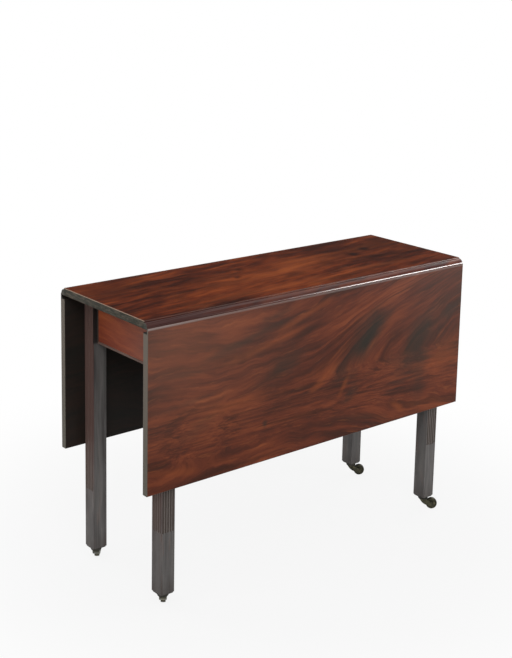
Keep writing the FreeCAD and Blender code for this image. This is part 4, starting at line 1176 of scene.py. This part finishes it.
@dataclass
class Studio:
    """Pale floor, soft light and the camera."""

    floor_radius: float = 100.0
    floor_sides: int = 96
    rim_height: float = 8.0
    floor_tones: Stops = ((0.0, (178, 178, 178)), (1.0, (184, 184, 184)))
    white_near: float = 0.88
    fade_start: float = 0.45
    fade_end: float = 1.3
    zenith: float = 1.02
    zenith_place: float = 0.95
    horizon: float = 0.035
    horizon_place: float = 0.36
    lamps: tuple[Lamp, ...] = (
        Lamp("key_lamp", (-2.2, -3.0, 2.8), 2.4, 2.0, 82.0),
        Lamp("side_lamp", (-3.6, 0.0, 1.7), 1.8, 1.8, 28.0),
        Lamp("strip_lamp", (2.05, -1.76, 0.56), 0.95, 0.26, 25.0),
        Lamp("rear_left_lamp", (-2.6, 3.0, 2.4), 2.0, 1.6, 34.0),
        Lamp("rear_right_lamp", (3.6, 0.5, 2.3), 2.0, 1.6, 24.0))
    target: tuple[float, float, float] = (0.0, 0.0, 0.42)
    eye: tuple[float, float, float] = (-2.00204, -2.33065, 1.49463)
    yaw: float = 0.6936
    pitch: float = 0.1846
    roll: float = 0.0207
    focal_pixels: float = 1245.07
    centre_row: float = 190.0
    image: tuple[int, int] = (512, 658)
    sensor: float = 36.0
    sight: float = 500.0

    def build(self) -> None:
        """Set up floor, light and camera."""
        self.lay_floor()
        self.light()
        self.set_camera()

    def lay_floor(self) -> None:
        """Make the floor, with a low rim far away, and its pale finish."""
        bpy.ops.object.select_all(action="DESELECT")
        bpy.ops.mesh.primitive_circle_add(
            vertices=self.floor_sides, radius=self.floor_radius, fill_type="NGON",
            location=(0, 0, 0))
        floor = bpy.context.object
        floor.name = "studio_floor"
        bpy.ops.object.mode_set(mode="EDIT")
        bpy.ops.mesh.select_all(action="SELECT")
        bpy.ops.mesh.region_to_loop()
        bpy.ops.mesh.extrude_edges_move(
            TRANSFORM_OT_translate={"value": (0, 0, self.rim_height)})
        bpy.ops.object.mode_set(mode="OBJECT")
        graph = NodeGraph("studio_floor")
        grit = graph.noise(graph.point(graph.x, graph.y, 0.0), 40.0, 2.0)
        graph.finish(graph.ramp(grit, self.floor_tones), 0.9, Specular_IOR_Level=0.0)
        rays = graph.node("LightPath").outputs
        seen = graph.larger(rays["Is Camera Ray"], graph.larger(
            rays["Is Glossy Ray"], rays["Is Transmission Ray"]))
        away = graph.rise(graph.length(graph.x, graph.y), self.fade_start, self.fade_end)
        cover = graph.sum(self.white_near, graph.times(away, 1.0 - self.white_near))
        white = graph.node("Emission").outputs[0]
        choice = graph.node("MixShader", {
            0: graph.times(cover, seen), 1: graph.shader.outputs[0], 2: white})
        graph.feed(graph.output.inputs["Surface"], choice.outputs[0])
        floor.data.materials.append(graph.material)

    def light(self) -> None:
        """Light the table by the sky of the studio and soft lamps."""
        world = bpy.data.worlds.new("studio_sky")
        bpy.context.scene.world = world
        world.use_nodes = True
        tree = world.node_tree
        tree.nodes.clear()
        place, axes, ramp, sky, output = (
            tree.nodes.new(f"ShaderNode{kind}") for kind in (
                "TexCoord", "SeparateXYZ", "ValToRGB", "Background", "OutputWorld"))
        low, high = ramp.color_ramp.elements
        low.position, high.position = self.horizon_place, self.zenith_place
        low.color, high.color = (*[self.horizon] * 3, 1.0), (*[self.zenith] * 3, 1.0)
        for source, target in ((place.outputs["Generated"], axes.inputs[0]),
                               (axes.outputs["Z"], ramp.inputs[0]),
                               (ramp.outputs["Color"], sky.inputs["Color"]),
                               (sky.outputs[0], output.inputs["Surface"])):
            tree.links.new(source, target)
        for lamp in self.lamps:
            bulb = bpy.data.lights.new(lamp.name, "AREA")
            bulb.shape = "RECTANGLE"
            bulb.energy, bulb.size, bulb.size_y = lamp.power, lamp.width, lamp.height
            stand = bpy.data.objects.new(lamp.name, bulb)
            bpy.context.scene.collection.objects.link(stand)
            stand.location = lamp.place
            aim = Vector(self.target) - Vector(lamp.place)
            stand.rotation_euler = aim.to_track_quat("-Z", "Y").to_euler()

    def set_camera(self) -> None:
        """Put the camera where the picture was taken from."""
        turned = (Matrix.Rotation(-self.yaw, 4, "Z")
                  @ Matrix.Rotation(math.pi / 2 - self.pitch, 4, "X")
                  @ Matrix.Rotation(self.roll, 4, "Z"))
        lens = bpy.data.cameras.new("camera")
        camera = bpy.data.objects.new("camera", lens)
        bpy.context.scene.collection.objects.link(camera)
        camera.matrix_world = Matrix.Translation(self.eye) @ turned
        long_side = max(self.image)
        lens.sensor_width = self.sensor
        lens.lens = self.focal_pixels / long_side * self.sensor
        lens.shift_y = (self.centre_row - self.image[1] / 2) / long_side
        lens.clip_end = self.sight
        bpy.context.scene.camera = camera


def main() -> None:
    """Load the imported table, dress it, and set it in the studio."""
    logging.basicConfig(level=logging.INFO, format="%(name)s: %(message)s")
    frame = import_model()
    bpy.context.scene.view_settings.view_transform = "Standard"
    for kind in (FixedTop, DropLeaves, LegsAndFrieze, UnderFrame, RuleHinges, Castors):
        kind(frame).build()
    Studio().build()


if __name__ == "__main__":
    main()
